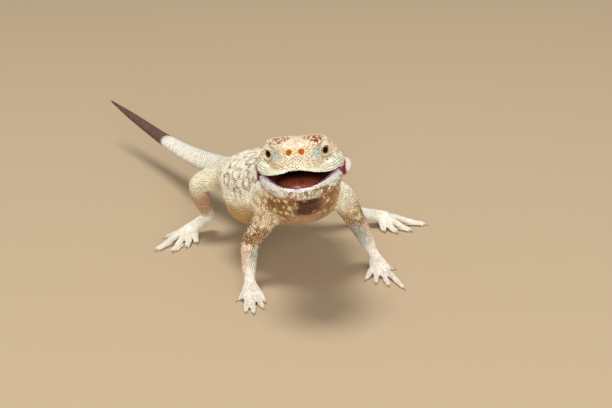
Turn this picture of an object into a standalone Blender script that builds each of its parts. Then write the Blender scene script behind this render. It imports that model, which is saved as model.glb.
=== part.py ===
"""Secret toad-headed agama, a life-size still model: head raised, mouth agape, tail off the ground.

The trunk lies along Y with the head towards -Y, and the animal's left is +X. Sizes are named in
millimetres and turned into metres when a mesh is made. Heights are above the floor at Z = 0.
"""
import math
from collections import namedtuple

import bmesh
import bpy
from mathutils import Matrix, Vector

MM = 0.001
GAP = 0.3  # left between two nodes that touch
ORIGIN = Vector((8.5, 95.74, 0.0))  # middle of the model's box on the floor
MODEL = "secret_toad_headed_agama"
MERGE = 0.00001  # metres
UP, LEFTWARD, REARWARD = Vector((0.0, 0.0, 1.0)), Vector((1.0, 0.0, 0.0)), Vector((0.0, 1.0, 0.0))
SIDES = {"left": 1, "right": -1}

# The spine runs from inside the head to the tip of the tail. Each station has its point, the
# half width of the body there, and the heights of its back and belly over and under that point.
Station = namedtuple("Station", "x y z side up down")
SPINE = (
    Station(-8.4, 8.4, 45.6, 9.6, 6.8, 8.2),
    Station(-7.2, 11.2, 44.6, 8.9, 6.8, 8.2),
    Station(-5.2, 16.0, 41.2, 8.7, 7.2, 8.8),
    Station(-3.4, 21.5, 36.6, 10.0, 7.8, 10.6),
    Station(-2.0, 28.5, 32.4, 12.8, 8.8, 11.9),
    Station(-1.0, 38.5, 29.6, 16.4, 9.6, 12.8),
    Station(-0.4, 54.0, 27.2, 19.0, 10.2, 14.8),
    Station(0.3, 67.0, 24.6, 15.3, 8.4, 10.8),
    Station(0.3, 77.5, 21.6, 11.2, 6.2, 7.2),
    Station(-1.3, 88.0, 19.4, 7.6, 4.5, 4.8),
    Station(-4.4, 100.0, 18.2, 5.9, 3.4, 3.4),
    Station(-6.6, 110.0, 17.3, 5.0, 3.0, 3.0),
    Station(-8.6, 131.7, 15.4, 3.7, 2.5, 2.4),
    Station(-10.6, 153.7, 14.9, 2.6, 2.0, 1.9),
    Station(-14.4, 181.7, 16.6, 1.6, 1.35, 1.25),
    Station(-17.7, 205.0, 18.4, 0.4, 0.35, 0.35),
)
NECK_END, VENT, TAIL_BASE_END, TAIL_MIDDLE_END = 17.5, 88.0, 120.0, 155.0  # along the spine
# How square the sections are along the spine: 1 is an oval, and less is fuller at its corners.
SQUARENESS = ((0.0, 0.9), (22.0, 0.9), (46.0, 0.68), (62.0, 0.72), (88.0, 1.0), (240.0, 1.0))
LIMB_SQUARENESS = 0.95

# The head is measured from the middle of the line between the corners of the mouth: forward
# along its own axis, out to each side, and up.
HEAD_AT = Vector((-10.5, 3.7, 46.5))
HEAD_TURN, HEAD_ROLL = math.radians(23.0), math.radians(2.6)  # to its right, and its left side up
HEAD_AHEAD = Vector((-math.sin(HEAD_TURN), -math.cos(HEAD_TURN), 0.0))
HEAD_LEFT = UP.cross(HEAD_AHEAD) * math.cos(HEAD_ROLL) + UP * math.sin(HEAD_ROLL)
HEAD_UP = HEAD_AHEAD.cross(HEAD_LEFT)
HEAD_BACK = -7.6
Skull = namedtuple("Skull", "f palate lip_w lip cheek_w cheek orbit_w orbit brow_w brow crown")
SKULL = (
    Skull(-7.6, -2.0, 9.8, -1.2, 10.2, 1.2, 8.8, 4.2, 6.4, 6.0, 6.6),
    Skull(-4.0, -1.2, 11.6, -0.8, 11.9, 2.0, 10.0, 5.4, 7.6, 7.7, 8.0),
    Skull(0.0, 2.6, 12.2, 0.1, 12.2, 3.2, 10.0, 6.6, 8.4, 8.8, 9.3),
    Skull(4.0, 3.3, 12.0, 1.3, 11.9, 3.6, 9.3, 6.9, 8.7, 9.8, 10.2),
    Skull(7.0, 3.7, 11.3, 1.7, 11.1, 4.0, 8.2, 7.1, 8.5, 10.4, 10.9),
    Skull(10.0, 4.2, 10.0, 1.9, 9.7, 4.6, 7.0, 7.6, 7.4, 10.7, 11.3),
    Skull(13.0, 4.6, 8.0, 2.5, 7.8, 5.2, 5.6, 8.0, 5.2, 10.7, 11.4),
    Skull(15.5, 4.7, 5.6, 3.4, 5.5, 5.9, 4.3, 8.3, 3.5, 10.6, 11.1),
    Skull(17.2, 5.0, 2.8, 4.5, 2.9, 6.3, 2.4, 8.2, 1.9, 9.8, 10.2),
    Skull(18.0, 5.6, 1.1, 5.3, 1.3, 6.5, 1.1, 7.8, 0.8, 8.8, 9.0),
)
Throat = namedtuple("Throat", "f top width bottom")
THROAT = (Throat(-7.6, 1.0, 9.6, -9.6), Throat(-4.0, 1.6, 11.2, -9.2), Throat(0.0, 2.2, 12.0, -8.4))
Jaw = namedtuple("Jaw", "f width lip floor bottom")
JAW = (
    Jaw(0.0, 12.0, 0.1, -2.4, -8.2),
    Jaw(5.0, 11.4, 0.15, -2.6, -7.4),
    Jaw(10.0, 9.5, 0.05, -2.8, -6.3),
    Jaw(14.0, 6.1, -0.65, -2.6, -5.3),
    Jaw(16.0, 3.0, -0.85, -1.1, -4.4),
    Jaw(16.7, 1.2, -0.9, -0.9, -3.4),
)
# Where the corners of the head's sections lie, as shares of each section's widths and heights.
PALATE_FLAT, PALATE_FLAT_DROP = 0.62, 0.25
LIP_INSIDE, LIP_INSIDE_DROP = 0.88, 0.8
CROWN_SHOULDER, CROWN_SHOULDER_RISE = 0.6, 0.75
THROAT_CORNERS = ((0.97, 0.4), (1.0, 0.25), (0.93, 0.55), (0.62, 0.9))  # width, then top or bottom
THROAT_FLAT = 0.7
JAW_FLOOR, JAW_FLOOR_RISE = 0.58, 0.15
JAW_LIP_INSIDE, JAW_LIP_INSIDE_RISE, JAW_LIP_TOP = 0.87, 0.85, 0.94
JAW_CORNERS = ((1.0, 0.12), (0.95, 0.5), (0.66, 0.9))  # width, then the way from lip to bottom
EYE_AT, EYE_RADIUS, EYE_LOOK = (8.2, 6.3, 7.8), 2.4, (0.60, 0.79, 0.10)
LID_THICKNESS, LID_OPENING = 0.45, (1.4, 1.05)
OPENING_REACH = 2.0  # how far past the eyeball the cut between the lids goes
NOSTRIL_AT, NOSTRIL_RADIUS = (16.9, 1.8, 10.2), 0.8
TONGUE_AT, TONGUE_HALF = (7.9, 0.0, -1.4), (5.8, 4.8, 0.85)
# The roll along the upper lip: its radius, how far forward it runs, and how far in and up it lies.
LIP_ROLL, LIP_RUN, LIP_STEPS, LIP_INWARD, LIP_RISE = 0.45, (0.6, 17.5), 9, 0.1, 0.25
BROW_BULGE = 0.045  # height of the swelling over each eye, as a share of the brow's half width
# The skin fold at each corner of the mouth, from its top to its bottom: forward, out, up, the
# half reach of the fold across and half its thickness.
Fold = namedtuple("Fold", "f out up reach thick")
FOLD = (
    Fold(-0.9, 11.9, 1.0, 0.6, 0.4), Fold(-1.4, 12.7, 0.2, 1.7, 0.5), Fold(-1.6, 12.9, -1.0, 1.9, 0.55),
    Fold(-1.5, 12.5, -2.2, 1.4, 0.5), Fold(-1.2, 11.7, -3.6, 0.7, 0.4),
)

FOLD_FRINGE, FOLD_FRINGE_RUN = 6, (0.10, 0.92)  # count, and where they stand along the fold
BROW_SCALES, BROW_SCALE_RUN = 6, (1.0, 10.5)  # count, and how far forward they stand
JAW_SCALES, JAW_SCALE_RUN, JAW_SCALE_HEIGHT = 9, (1.8, 14.2), 0.42
NECK_SPINES, NECK_SPINE_RUN = 5, (5.5, 15.0)  # count in a row, and where they stand along the spine
NECK_SPINE_TURNS = (-20.0, 4.0)  # degrees round the neck of the two rows
# Length, root radius and sunk length of each kind of spine.
Thorn = namedtuple("Thorn", "length radius sunk")
THORN_TIP = 0.12  # radius of the tip, as a share of the root's
FOLD_THORN, BROW_THORN, JAW_THORN = Thorn(1.0, 0.42, 0.6), Thorn(0.45, 0.6, 0.5), Thorn(0.75, 0.42, 0.5)
NECK_THORN = Thorn(1.3, 0.45, 0.5)

# Each leg runs through its joints, with the half sizes of its section along it.
FORELEGS = {
    "left": (
        Station(5.0, 25.5, 30.0, 4.6, 4.6, 4.6), Station(10.4, 26.2, 27.4, 4.1, 4.1, 4.1),
        Station(14.8, 29.6, 21.0, 3.6, 3.4, 3.4), Station(18.0, 31.8, 15.6, 2.9, 2.9, 2.9),
        Station(20.4, 31.0, 10.4, 2.5, 2.4, 2.4), Station(22.2, 29.6, 5.6, 1.9, 1.8, 1.8),
        Station(22.4, 27.6, 3.4, 2.2, 1.5, 1.5),
    ),
    "right": (
        Station(-7.0, 28.5, 29.4, 4.6, 4.6, 4.6), Station(-11.2, 29.6, 25.6, 4.1, 4.1, 4.1),
        Station(-14.6, 32.0, 19.4, 3.6, 3.4, 3.4), Station(-17.6, 33.4, 14.0, 2.9, 2.8, 2.8),
        Station(-19.2, 30.8, 9.2, 2.4, 2.3, 2.3), Station(-20.6, 27.0, 4.8, 1.9, 1.8, 1.8),
        Station(-21.0, 25.0, 3.2, 2.2, 1.5, 1.5),
    ),
}
HINDLEGS = {
    "left": (
        Station(2.0, 78.2, 21.4, 5.4, 4.8, 4.8), Station(11.0, 74.6, 22.4, 4.8, 4.4, 4.4),
        Station(17.6, 70.6, 23.0, 3.9, 3.7, 3.7), Station(22.8, 67.6, 21.4, 3.0, 3.0, 3.0),
        Station(26.2, 69.4, 13.6, 2.6, 2.6, 2.6), Station(28.4, 70.0, 6.4, 1.9, 1.9, 1.9),
        Station(31.0, 68.8, 4.4, 2.0, 1.6, 1.6),
    ),
    "right": (
        Station(-4.0, 78.0, 21.4, 5.4, 4.8, 4.8), Station(-12.0, 76.6, 22.2, 4.8, 4.4, 4.4),
        Station(-17.4, 75.4, 22.8, 3.9, 3.7, 3.7), Station(-21.0, 76.0, 21.2, 3.0, 3.0, 3.0),
        Station(-18.2, 81.0, 13.4, 2.6, 2.6, 2.6), Station(-15.4, 85.6, 6.2, 1.9, 1.9, 1.9),
        Station(-17.4, 85.8, 4.0, 2.0, 1.6, 1.6),
    ),
}
# A foot has the place where its palm or sole ends, and the tips of toes 1 to 5 on the floor.
Foot = namedtuple("Foot", "palm tips")
FOREFEET = {
    "left": Foot((22.2, 23.4, 1.7), ((14.8, 19.4), (16.9, 14.8), (20.0, 11.0), (23.6, 7.0), (28.4, 24.4))),
    "right": Foot(
        (-22.2, 20.6, 1.7), ((-19.2, 15.6), (-21.4, 11.4), (-25.8, 8.6), (-27.9, 10.8), (-27.4, 21.8))),
}
HINDFEET = {
    "left": Foot((41.0, 64.6, 3.6), ((38.4, 56.6), (42.0, 53.9), (47.4, 53.4), (54.9, 57.6), (50.2, 68.4))),
    "right": Foot(
        (-23.0, 84.2, 3.0), ((-22.8, 75.6), (-27.2, 73.4), (-32.8, 71.9), (-37.9, 76.0), (-32.0, 87.0))),
}
# Half the width and height of a palm or sole, a toe's half thickness at its root and its tip.
Build = namedtuple("Build", "width height toe_root toe_tip arch")
FOOT_BUILD = {"fore": Build(3.3, 1.35, 0.92, 0.66, 0.4), "hind": Build(2.9, 1.6, 1.15, 0.82, 0.7)}
TOE_ROOTS_ASIDE = (-0.76, -0.40, 0.0, 0.40, 0.74)  # in half widths of the palm, toes 1 to 5
TOE_ROOTS_AHEAD = (-1.2, -0.2, 0.2, 0.0, -2.0)
CLAW_LENGTH, CLAW_ROOT = 1.9, 0.48
FRINGED_TOES, TOE_THORNS, TOE_THORN = {"fore": (), "hind": (2, 3)}, 5, Thorn(1.0, 0.34, 0.4)

# The joints of the limbs, as shares of each limb's own course.
STUB_SHARE = {"fore": 0.38, "hind": 0.46}
BEND_SHARE = {"fore": 0.55, "hind": 0.60}
WRIST_SHARE = {"fore": 0.91, "hind": 0.87}
LIMB_NODES = {"fore": ("upper_arm", "forearm"), "hind": ("thigh", "shin")}
FOOT_NODES = {"fore": "hand", "hind": "foot"}

# Finishes: base colour and roughness.
FINISHES = {
    "head_skin": ((0.80, 0.72, 0.52), 0.6),
    "body_skin": ((0.68, 0.58, 0.42), 0.6),
    "limb_skin": ((0.78, 0.70, 0.58), 0.6),
    "foot_skin": ((0.86, 0.82, 0.74), 0.6),
    "tail_skin": ((0.80, 0.76, 0.68), 0.6),
    "tail_dark_skin": ((0.14, 0.09, 0.09), 0.6),
    "mouth_skin": ((0.45, 0.12, 0.10), 0.4),
    "eye": ((0.02, 0.015, 0.01), 0.1),
}


def mixed(a, b, share):
    """The value this share of the way from a to b."""
    return a + (b - a) * share


class Course:
    """A smooth line through rows of numbers, with cubic slopes taken from each row's neighbours."""

    def __init__(self, rows, places=3):
        self.rows = [tuple(row) for row in rows]
        self.marks = [0.0]
        for a, b in zip(self.rows, self.rows[1:]):
            self.marks.append(self.marks[-1] + math.dist(a[:places], b[:places]))
        self.length = self.marks[-1]

    def slope(self, i, column):
        """How fast a column changes at row i."""
        a, b = max(i - 1, 0), min(i + 1, len(self.rows) - 1)
        return (self.rows[b][column] - self.rows[a][column]) / (self.marks[b] - self.marks[a])

    def at(self, along):
        """Every column of the row this far along."""
        last = len(self.rows) - 2
        i = next((k for k in range(last) if along < self.marks[k + 1]), last)
        step = self.marks[i + 1] - self.marks[i]
        t = min(max((along - self.marks[i]) / step, 0.0), 1.0)
        start, leave = 2 * t**3 - 3 * t**2 + 1, (t**3 - 2 * t**2 + t) * step
        end, arrive = 3 * t**2 - 2 * t**3, (t**3 - t**2) * step
        return [start * self.rows[i][c] + leave * self.slope(i, c)
                + end * self.rows[i + 1][c] + arrive * self.slope(i + 1, c)
                for c in range(len(self.rows[0]))]

    def point(self, along):
        """The point this far along."""
        return Vector(self.at(along)[:3])

    def heading(self, along):
        """The direction of the line there."""
        near, far = max(along - 0.3, 0.0), min(along + 0.3, self.length)
        return (self.point(far) - self.point(near)).normalized()

    def frame(self, along, across):
        """The point, the direction to its side nearest to across, and the direction over it."""
        ahead = self.heading(along)
        side = (across - ahead * across.dot(ahead)).normalized()
        return self.point(along), side, side.cross(ahead)


def link(name, data):
    """Puts new data in the scene as an object."""
    item = bpy.data.objects.new(name, data)
    bpy.context.scene.collection.objects.link(item)
    return item


def object_from(name, shape):
    """Turns a shape in millimetres into an object in metres, with its faces out."""
    bmesh.ops.recalc_face_normals(shape, faces=shape.faces)
    for corner in shape.verts:
        corner.co = (corner.co - ORIGIN) * MM
    mesh = bpy.data.meshes.new(name)
    shape.to_mesh(mesh)
    shape.free()
    return link(name, mesh)


def skinned(name, rings):
    """A closed loft between rings of equal count."""
    shape = bmesh.new()
    rows = [[shape.verts.new(place) for place in ring] for ring in rings]
    count = len(rows[0])
    for near, far in zip(rows, rows[1:]):
        for i in range(count):
            j = (i + 1) % count
            shape.faces.new((near[i], near[j], far[j], far[i]))
    shape.faces.new(rows[0])
    shape.faces.new(rows[-1])
    return object_from(name, shape)


def oval_point(course, along, turn, across, squareness=1.0):
    """A point on the skin of a course's section, at a turn from its side towards its top."""
    centre, side, over = course.frame(along, across)
    half, up, down = course.at(along)[3:6]
    c, s = math.cos(turn), math.sin(turn)
    out = math.copysign(abs(c) ** squareness, c) * half
    high = math.copysign(abs(s) ** squareness, s) * (up if s > 0 else down)
    return centre + side * out + over * high


def spine_squareness(along):
    """How square the section is this far along the spine."""
    return Course(SQUARENESS, places=1).at(along)[1]


def limb_squareness(_along):
    """How square the section of a limb is."""
    return LIMB_SQUARENESS


def body_length(name, course, start, end, steps, sides, across, squareness=limb_squareness):
    """A length of body along a course, its sections across the course."""
    turns = [2 * math.pi * (k + 0.5) / sides for k in range(sides)]
    stops = [mixed(start, end, k / steps) for k in range(steps + 1)]
    return skinned(name, [[oval_point(course, along, turn, across, squareness(along)) for turn in turns]
                          for along in stops])


def tube(name, points, radii):
    """A round tapering length through points, made as a curve and turned into a closed mesh."""
    curve = bpy.data.curves.new(name, "CURVE")
    curve.dimensions = "3D"
    curve.bevel_depth = MM
    curve.bevel_resolution = 1
    curve.use_fill_caps = True
    spline = curve.splines.new("POLY")
    spline.points.add(len(points) - 1)
    for place, point, radius in zip(spline.points, points, radii):
        place.co = (*((Vector(point) - ORIGIN) * MM), 1.0)
        place.radius = radius
    source = link(name, curve)
    source_now = source.evaluated_get(bpy.context.evaluated_depsgraph_get())
    mesh = bpy.data.meshes.new_from_object(source_now)
    item = link(name, mesh)
    item.matrix_world = source.matrix_world
    bpy.data.objects.remove(source)
    shape = bmesh.new()
    shape.from_mesh(mesh)
    bmesh.ops.remove_doubles(shape, verts=shape.verts, dist=MERGE)
    bmesh.ops.recalc_face_normals(shape, faces=shape.faces)
    shape.to_mesh(mesh)
    shape.free()
    return item


def turned_to(direction):
    """The turn that takes +Z to a direction."""
    return direction.to_track_quat("Z", "Y").to_matrix().to_4x4()


def spine_on(name, root, direction, thorn, sides=5):
    """A spine that stands on a surface point, with its root sunk below it."""
    shape = bmesh.new()
    place = Matrix.Translation(root + direction * (thorn.length - thorn.sunk) / 2) @ turned_to(direction)
    bmesh.ops.create_cone(shape, cap_ends=True, segments=sides, radius1=thorn.radius,
                          radius2=thorn.radius * THORN_TIP, depth=thorn.length + thorn.sunk, matrix=place)
    return object_from(name, shape)


def ball(name, centre, half_sizes, turn=None, segments=16, rings=10):
    """A ball, or an egg with three half sizes, turned about its centre."""
    shape = bmesh.new()
    place = Matrix.Translation(centre) @ (turn or Matrix.Identity(4)) @ Matrix.Diagonal((*half_sizes, 1.0))
    bmesh.ops.create_uvsphere(shape, u_segments=segments, v_segments=rings, radius=1.0, matrix=place)
    return object_from(name, shape)


def kept_largest(item):
    """Drops every closed surface but the one with the most faces' area."""
    shape = bmesh.new()
    shape.from_mesh(item.data)
    left, groups = set(shape.faces), []
    while left:
        stack, group = [left.pop()], []
        while stack:
            face = stack.pop()
            group.append(face)
            for edge in face.edges:
                for other in edge.link_faces:
                    if other in left:
                        left.remove(other)
                        stack.append(other)
        groups.append(group)
    groups.sort(key=lambda group: sum(face.calc_area() for face in group))
    for group in groups[:-1]:
        bmesh.ops.delete(shape, geom=group, context="FACES")
    shape.to_mesh(item.data)
    shape.free()


def combined(item, others, operation):
    """Joins other closed objects to one, or cuts them out of it, and removes them."""
    group = bpy.data.collections.new(item.name + "_" + operation.lower())
    for other in others:
        group.objects.link(other)
    change = item.modifiers.new(operation, "BOOLEAN")
    change.operand_type = "COLLECTION"
    change.collection = group
    change.operation = operation
    change.solver = "EXACT"
    now = item.evaluated_get(bpy.context.evaluated_depsgraph_get())
    mesh = bpy.data.meshes.new_from_object(now)
    item.modifiers.remove(change)
    old, item.data = item.data, mesh
    bpy.data.meshes.remove(old)
    for other in others:
        bpy.data.objects.remove(other)
    bpy.data.collections.remove(group)
    kept_largest(item)
    return item


def trimmed(item, point, direction):
    """Cuts off what lies past a plane and closes the cut with a flat face."""
    shape = bmesh.new()
    shape.from_mesh(item.data)
    everything = shape.verts[:] + shape.edges[:] + shape.faces[:]
    bmesh.ops.bisect_plane(shape, geom=everything, dist=MERGE, plane_co=(point - ORIGIN) * MM,
                           plane_no=direction, clear_outer=True)
    bmesh.ops.holes_fill(shape, edges=[edge for edge in shape.edges if edge.is_boundary])
    bmesh.ops.recalc_face_normals(shape, faces=shape.faces)
    shape.to_mesh(item.data)
    shape.free()
    return item


def head_point(forward, out, up):
    """A point measured on the head."""
    return HEAD_AT + HEAD_AHEAD * forward + HEAD_LEFT * out + HEAD_UP * up


def head_direction(forward, out, up):
    """A unit direction measured on the head."""
    return (HEAD_AHEAD * forward + HEAD_LEFT * out + HEAD_UP * up).normalized()


def head_ring(forward, half_outline):
    """A ring across the head from a half outline of (out, up), with a point between each two."""
    outline = Course(half_outline, places=2)
    stops = [mark for pair in zip(outline.marks, outline.marks[1:]) for mark in (pair[0], mixed(*pair, 0.5))]
    half = [outline.at(stop) for stop in stops] + [half_outline[-1]]
    left = [head_point(forward, out, up) for out, up in half]
    right = [head_point(forward, -out, up) for out, up in reversed(half[1:-1])]
    return left + right


def skull_outline(row):
    """Half of the upper head's section, from the middle of the palate to the middle of the crown."""
    _, palate, lip_w, lip, cheek_w, cheek, orbit_w, orbit, brow_w, brow, crown = row
    flat = (PALATE_FLAT * lip_w, mixed(palate, lip, PALATE_FLAT_DROP))
    inside = (LIP_INSIDE * lip_w, mixed(palate, lip, LIP_INSIDE_DROP))
    shoulder = (CROWN_SHOULDER * brow_w, mixed(brow, crown, CROWN_SHOULDER_RISE) + BROW_BULGE * brow_w)
    return ((0.0, palate), flat, inside, (lip_w, lip), (cheek_w, cheek), (orbit_w, orbit), (brow_w, brow),
            shoulder, (0.0, crown))


def throat_outline(row):
    """Half of the section behind the mouth, below the upper head."""
    _, top, width, bottom = row
    (upper, rise), *lower = THROAT_CORNERS
    return ((0.0, top), (THROAT_FLAT * width, top), (upper * width, rise * top),
            *((share * width, drop * bottom) for share, drop in lower), (0.0, bottom))


def jaw_outline(row):
    """Half of the lower jaw's section, from the middle of its floor round to its underside."""
    _, width, lip, floor, bottom = row
    return ((0.0, floor), (JAW_FLOOR * width, mixed(floor, lip, JAW_FLOOR_RISE)),
            (JAW_LIP_INSIDE * width, mixed(floor, lip, JAW_LIP_INSIDE_RISE)),
            (JAW_LIP_TOP * width, lip + 0.1),
            *((share * width, mixed(lip, bottom, drop)) for share, drop in JAW_CORNERS), (0.0, bottom))


def head_loft(name, rows, outline, start, end, steps):
    """A loft along the head through its own kind of section."""
    course = Course(rows, places=1)
    first = course.rows[0][0]
    stops = [mixed(start, end, k / steps) for k in range(steps + 1)]
    return skinned(name, [head_ring(stop, outline(course.at(stop - first))) for stop in stops])


def fold_pieces(hand):
    """The skin fold at one corner of the mouth, with its fringe of pointed scales."""
    rows = [(*head_point(row.f, hand * row.out, row.up), row.reach, row.thick, row.thick) for row in FOLD]
    course = Course(rows)
    across = head_direction(-0.35, hand, 0.0)
    pieces = [body_length("fold", course, 0.0, course.length, 7, 10, across)]
    for k in range(FOLD_FRINGE):
        share = k / (FOLD_FRINGE - 1)
        along = mixed(*FOLD_FRINGE_RUN, share) * course.length
        centre, side, _ = course.frame(along, across)
        edge = centre + side * course.at(along)[3]
        lean = (side + UP * mixed(0.5, -0.5, share) - HEAD_AHEAD * 0.3).normalized()
        pieces.append(spine_on("fringe", edge, lean, FOLD_THORN))
    return pieces


def eye_place(hand):
    """The middle of one eyeball and the direction it looks in."""
    look = head_direction(EYE_LOOK[0], hand * EYE_LOOK[1], EYE_LOOK[2])
    return head_point(EYE_AT[0], hand * EYE_AT[1], EYE_AT[2]), look


def eye_cutters(hand):
    """The socket of one eye and the opening between its lids."""
    centre, look = eye_place(hand)
    level = UP.cross(look).normalized()
    turn = Matrix((level, look.cross(level), look)).transposed().to_4x4()
    reach = EYE_RADIUS + OPENING_REACH
    shape = bmesh.new()
    place = Matrix.Translation(centre + look * reach / 2) @ turn @ Matrix.Diagonal((*LID_OPENING, 1.0, 1.0))
    bmesh.ops.create_cone(shape, cap_ends=True, segments=14, radius1=1.0, radius2=1.0, depth=reach,
                          matrix=place)
    return [ball("socket", centre, [EYE_RADIUS + GAP] * 3), object_from("opening", shape)]


def upper_lip():
    """The rolled edge of the upper lip, from one corner of the mouth round the front to the other."""
    course = Course(SKULL, places=1)
    left = []
    for k in range(LIP_STEPS + 1):
        stop = mixed(*LIP_RUN, k / LIP_STEPS)
        row = Skull(*course.at(stop - SKULL[0].f))
        left.append((stop, row.lip_w - LIP_INWARD, row.lip + LIP_RISE))
    points = [head_point(*place) for place in left]
    points += [head_point(f, -out, up) for f, out, up in reversed(left)]
    return tube("lip", points, [LIP_ROLL] * len(points))


def make_head():
    """Skull and snout with the back of the throat, lids, lips, nostrils, brow scales and folds."""
    head = head_loft("head", SKULL, skull_outline, HEAD_BACK, SKULL[-1].f, 15)
    pieces = [head_loft("throat", THROAT, throat_outline, HEAD_BACK, THROAT[-1].f, 5)]
    pieces.append(upper_lip())
    skull = Course(SKULL, places=1)
    for hand in SIDES.values():
        pieces += fold_pieces(hand)
        pieces.append(ball("lids", eye_place(hand)[0], [EYE_RADIUS + GAP + LID_THICKNESS] * 3, None, 16, 10))
        for k in range(BROW_SCALES):
            f = mixed(*BROW_SCALE_RUN, k / (BROW_SCALES - 1))
            row = Skull(*skull.at(f - SKULL[0].f))
            edge = head_point(f, hand * row.brow_w, row.brow + 0.05)
            pieces.append(spine_on("brow_scale", edge, head_direction(-0.3, hand * 0.9, 0.35), BROW_THORN))
    combined(head, pieces, "UNION")
    cutters = []
    for hand in SIDES.values():
        cutters += eye_cutters(hand)
        nostril = head_point(NOSTRIL_AT[0], hand * NOSTRIL_AT[1], NOSTRIL_AT[2])
        cutters.append(ball("pit", nostril, [NOSTRIL_RADIUS] * 3, segments=8, rings=6))
    return combined(head, cutters, "DIFFERENCE")


def make_lower_jaw():
    """The lower jaw's trough with its rolled lip and a row of pointed scales along each side."""
    jaw = head_loft("lower_jaw", JAW, jaw_outline, GAP, JAW[-1].f, 13)
    course = Course(JAW, places=1)
    pieces = []
    for hand in SIDES.values():
        for k in range(JAW_SCALES):
            f = mixed(*JAW_SCALE_RUN, k / (JAW_SCALES - 1))
            row = Jaw(*course.at(f))
            edge = head_point(f, hand * row.width * 0.97, mixed(row.lip, row.bottom, JAW_SCALE_HEIGHT))
            out = head_direction(0.12 * k - 0.3, hand, -0.45)
            pieces.append(spine_on("jaw_scale", edge, out, JAW_THORN))
    return combined(jaw, pieces, "UNION")


def make_tongue():
    """The broad flat tongue on the floor of the mouth."""
    half = Matrix.Rotation(math.atan2(HEAD_AHEAD.y, HEAD_AHEAD.x), 4, "Z")
    return ball("tongue", head_point(*TONGUE_AT), TONGUE_HALF, half, 14, 8)


def make_eye(side):
    """One eyeball, whose pupil side looks out and forward."""
    centre, look = eye_place(SIDES[side])
    return ball("eye_" + side, centre, [EYE_RADIUS] * 3, turned_to(look), 16, 10)


def make_neck(spine):
    """The neck, cut to meet the back of the head, with spiny scales on its sides."""
    neck = body_length("neck", spine, 0.0, NECK_END, 8, 20, LEFTWARD, spine_squareness)
    pieces = []
    for hand in SIDES.values():
        for k in range(2 * NECK_SPINES):
            along = mixed(*NECK_SPINE_RUN, (k % NECK_SPINES) / (NECK_SPINES - 1))
            turn = math.radians(NECK_SPINE_TURNS[k // NECK_SPINES] + 6 * (k % 2))
            turn = turn if hand > 0 else math.pi - turn
            root = oval_point(spine, along, turn, LEFTWARD, spine_squareness(along))
            outward = (root - spine.point(along)).normalized()
            lean = (outward + spine.heading(along) * 0.5).normalized()
            pieces.append(spine_on("neck_spine", root, lean, NECK_THORN))
    combined(neck, pieces, "UNION")
    return trimmed(neck, head_point(HEAD_BACK - GAP, 0, 0), HEAD_AHEAD)


def limb_courses():
    """The four limbs with their names' first words, sides and courses."""
    for kind, legs in (("fore", FORELEGS), ("hind", HINDLEGS)):
        for side, rows in legs.items():
            yield kind, side, Course(rows)


def make_torso(spine):
    """The trunk from shoulders to vent, with the roots of the four limbs."""
    torso = body_length("torso", spine, NECK_END + GAP, VENT, 15, 24, LEFTWARD, spine_squareness)
    stubs = [body_length("stub", course, 0.0, STUB_SHARE[kind] * course.length, 3, 12, REARWARD)
             for kind, _, course in limb_courses()]
    return combined(torso, stubs, "UNION")


def make_limb(kind, side, course):
    """The upper and lower length of one limb."""
    upper, lower = LIMB_NODES[kind]
    root, bend, end = (share[kind] * course.length for share in (STUB_SHARE, BEND_SHARE, WRIST_SHARE))
    return [
        body_length(upper + "_" + side, course, root + GAP, bend, 6, 12, REARWARD),
        body_length(lower + "_" + side, course, bend + GAP, end, 7, 12, REARWARD),
    ]


def toe_pieces(root, tip, build, fringed):
    """A toe that arches to the floor, its curved claw, and the fringes along its sides."""
    flat = Vector((tip[0] - root.x, tip[1] - root.y, 0.0))
    ahead, reach = flat.normalized(), flat.length - CLAW_LENGTH
    aside, start = UP.cross(ahead), Vector((root.x, root.y, 0.0))
    stops = [k / 5 for k in range(6)]
    line, radii = [], []
    for stop in stops:
        height = mixed(root.z, build.toe_tip * 0.8, min(stop * 1.5, 1.0))
        height += build.arch * math.sin(math.pi * stop)
        line.append(start + ahead * reach * stop + UP * height)
        radii.append(mixed(build.toe_root, build.toe_tip, stop) * (1 + 0.08 * math.cos(4 * math.pi * stop)))
    end = line[-1]
    claw = [end - ahead * 0.4 + UP * 0.1, end + ahead * 0.8 + UP * 0.12, end + ahead * CLAW_LENGTH - UP * 0.3]
    pieces = [tube("toe", line, radii), tube("claw", claw, (CLAW_ROOT, CLAW_ROOT * 0.75, CLAW_ROOT * 0.18))]
    if fringed:
        for k in range(TOE_THORNS):
            stop = mixed(0.35, 0.95, k / (TOE_THORNS - 1))
            place = start + ahead * reach * stop + UP * 0.6
            wide = mixed(build.toe_root, build.toe_tip, stop) * 0.9
            for hand in SIDES.values():
                lean = (aside * hand + ahead * 0.45).normalized()
                pieces.append(spine_on("fringe", place + aside * hand * wide, lean, TOE_THORN, sides=4))
    return pieces


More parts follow.
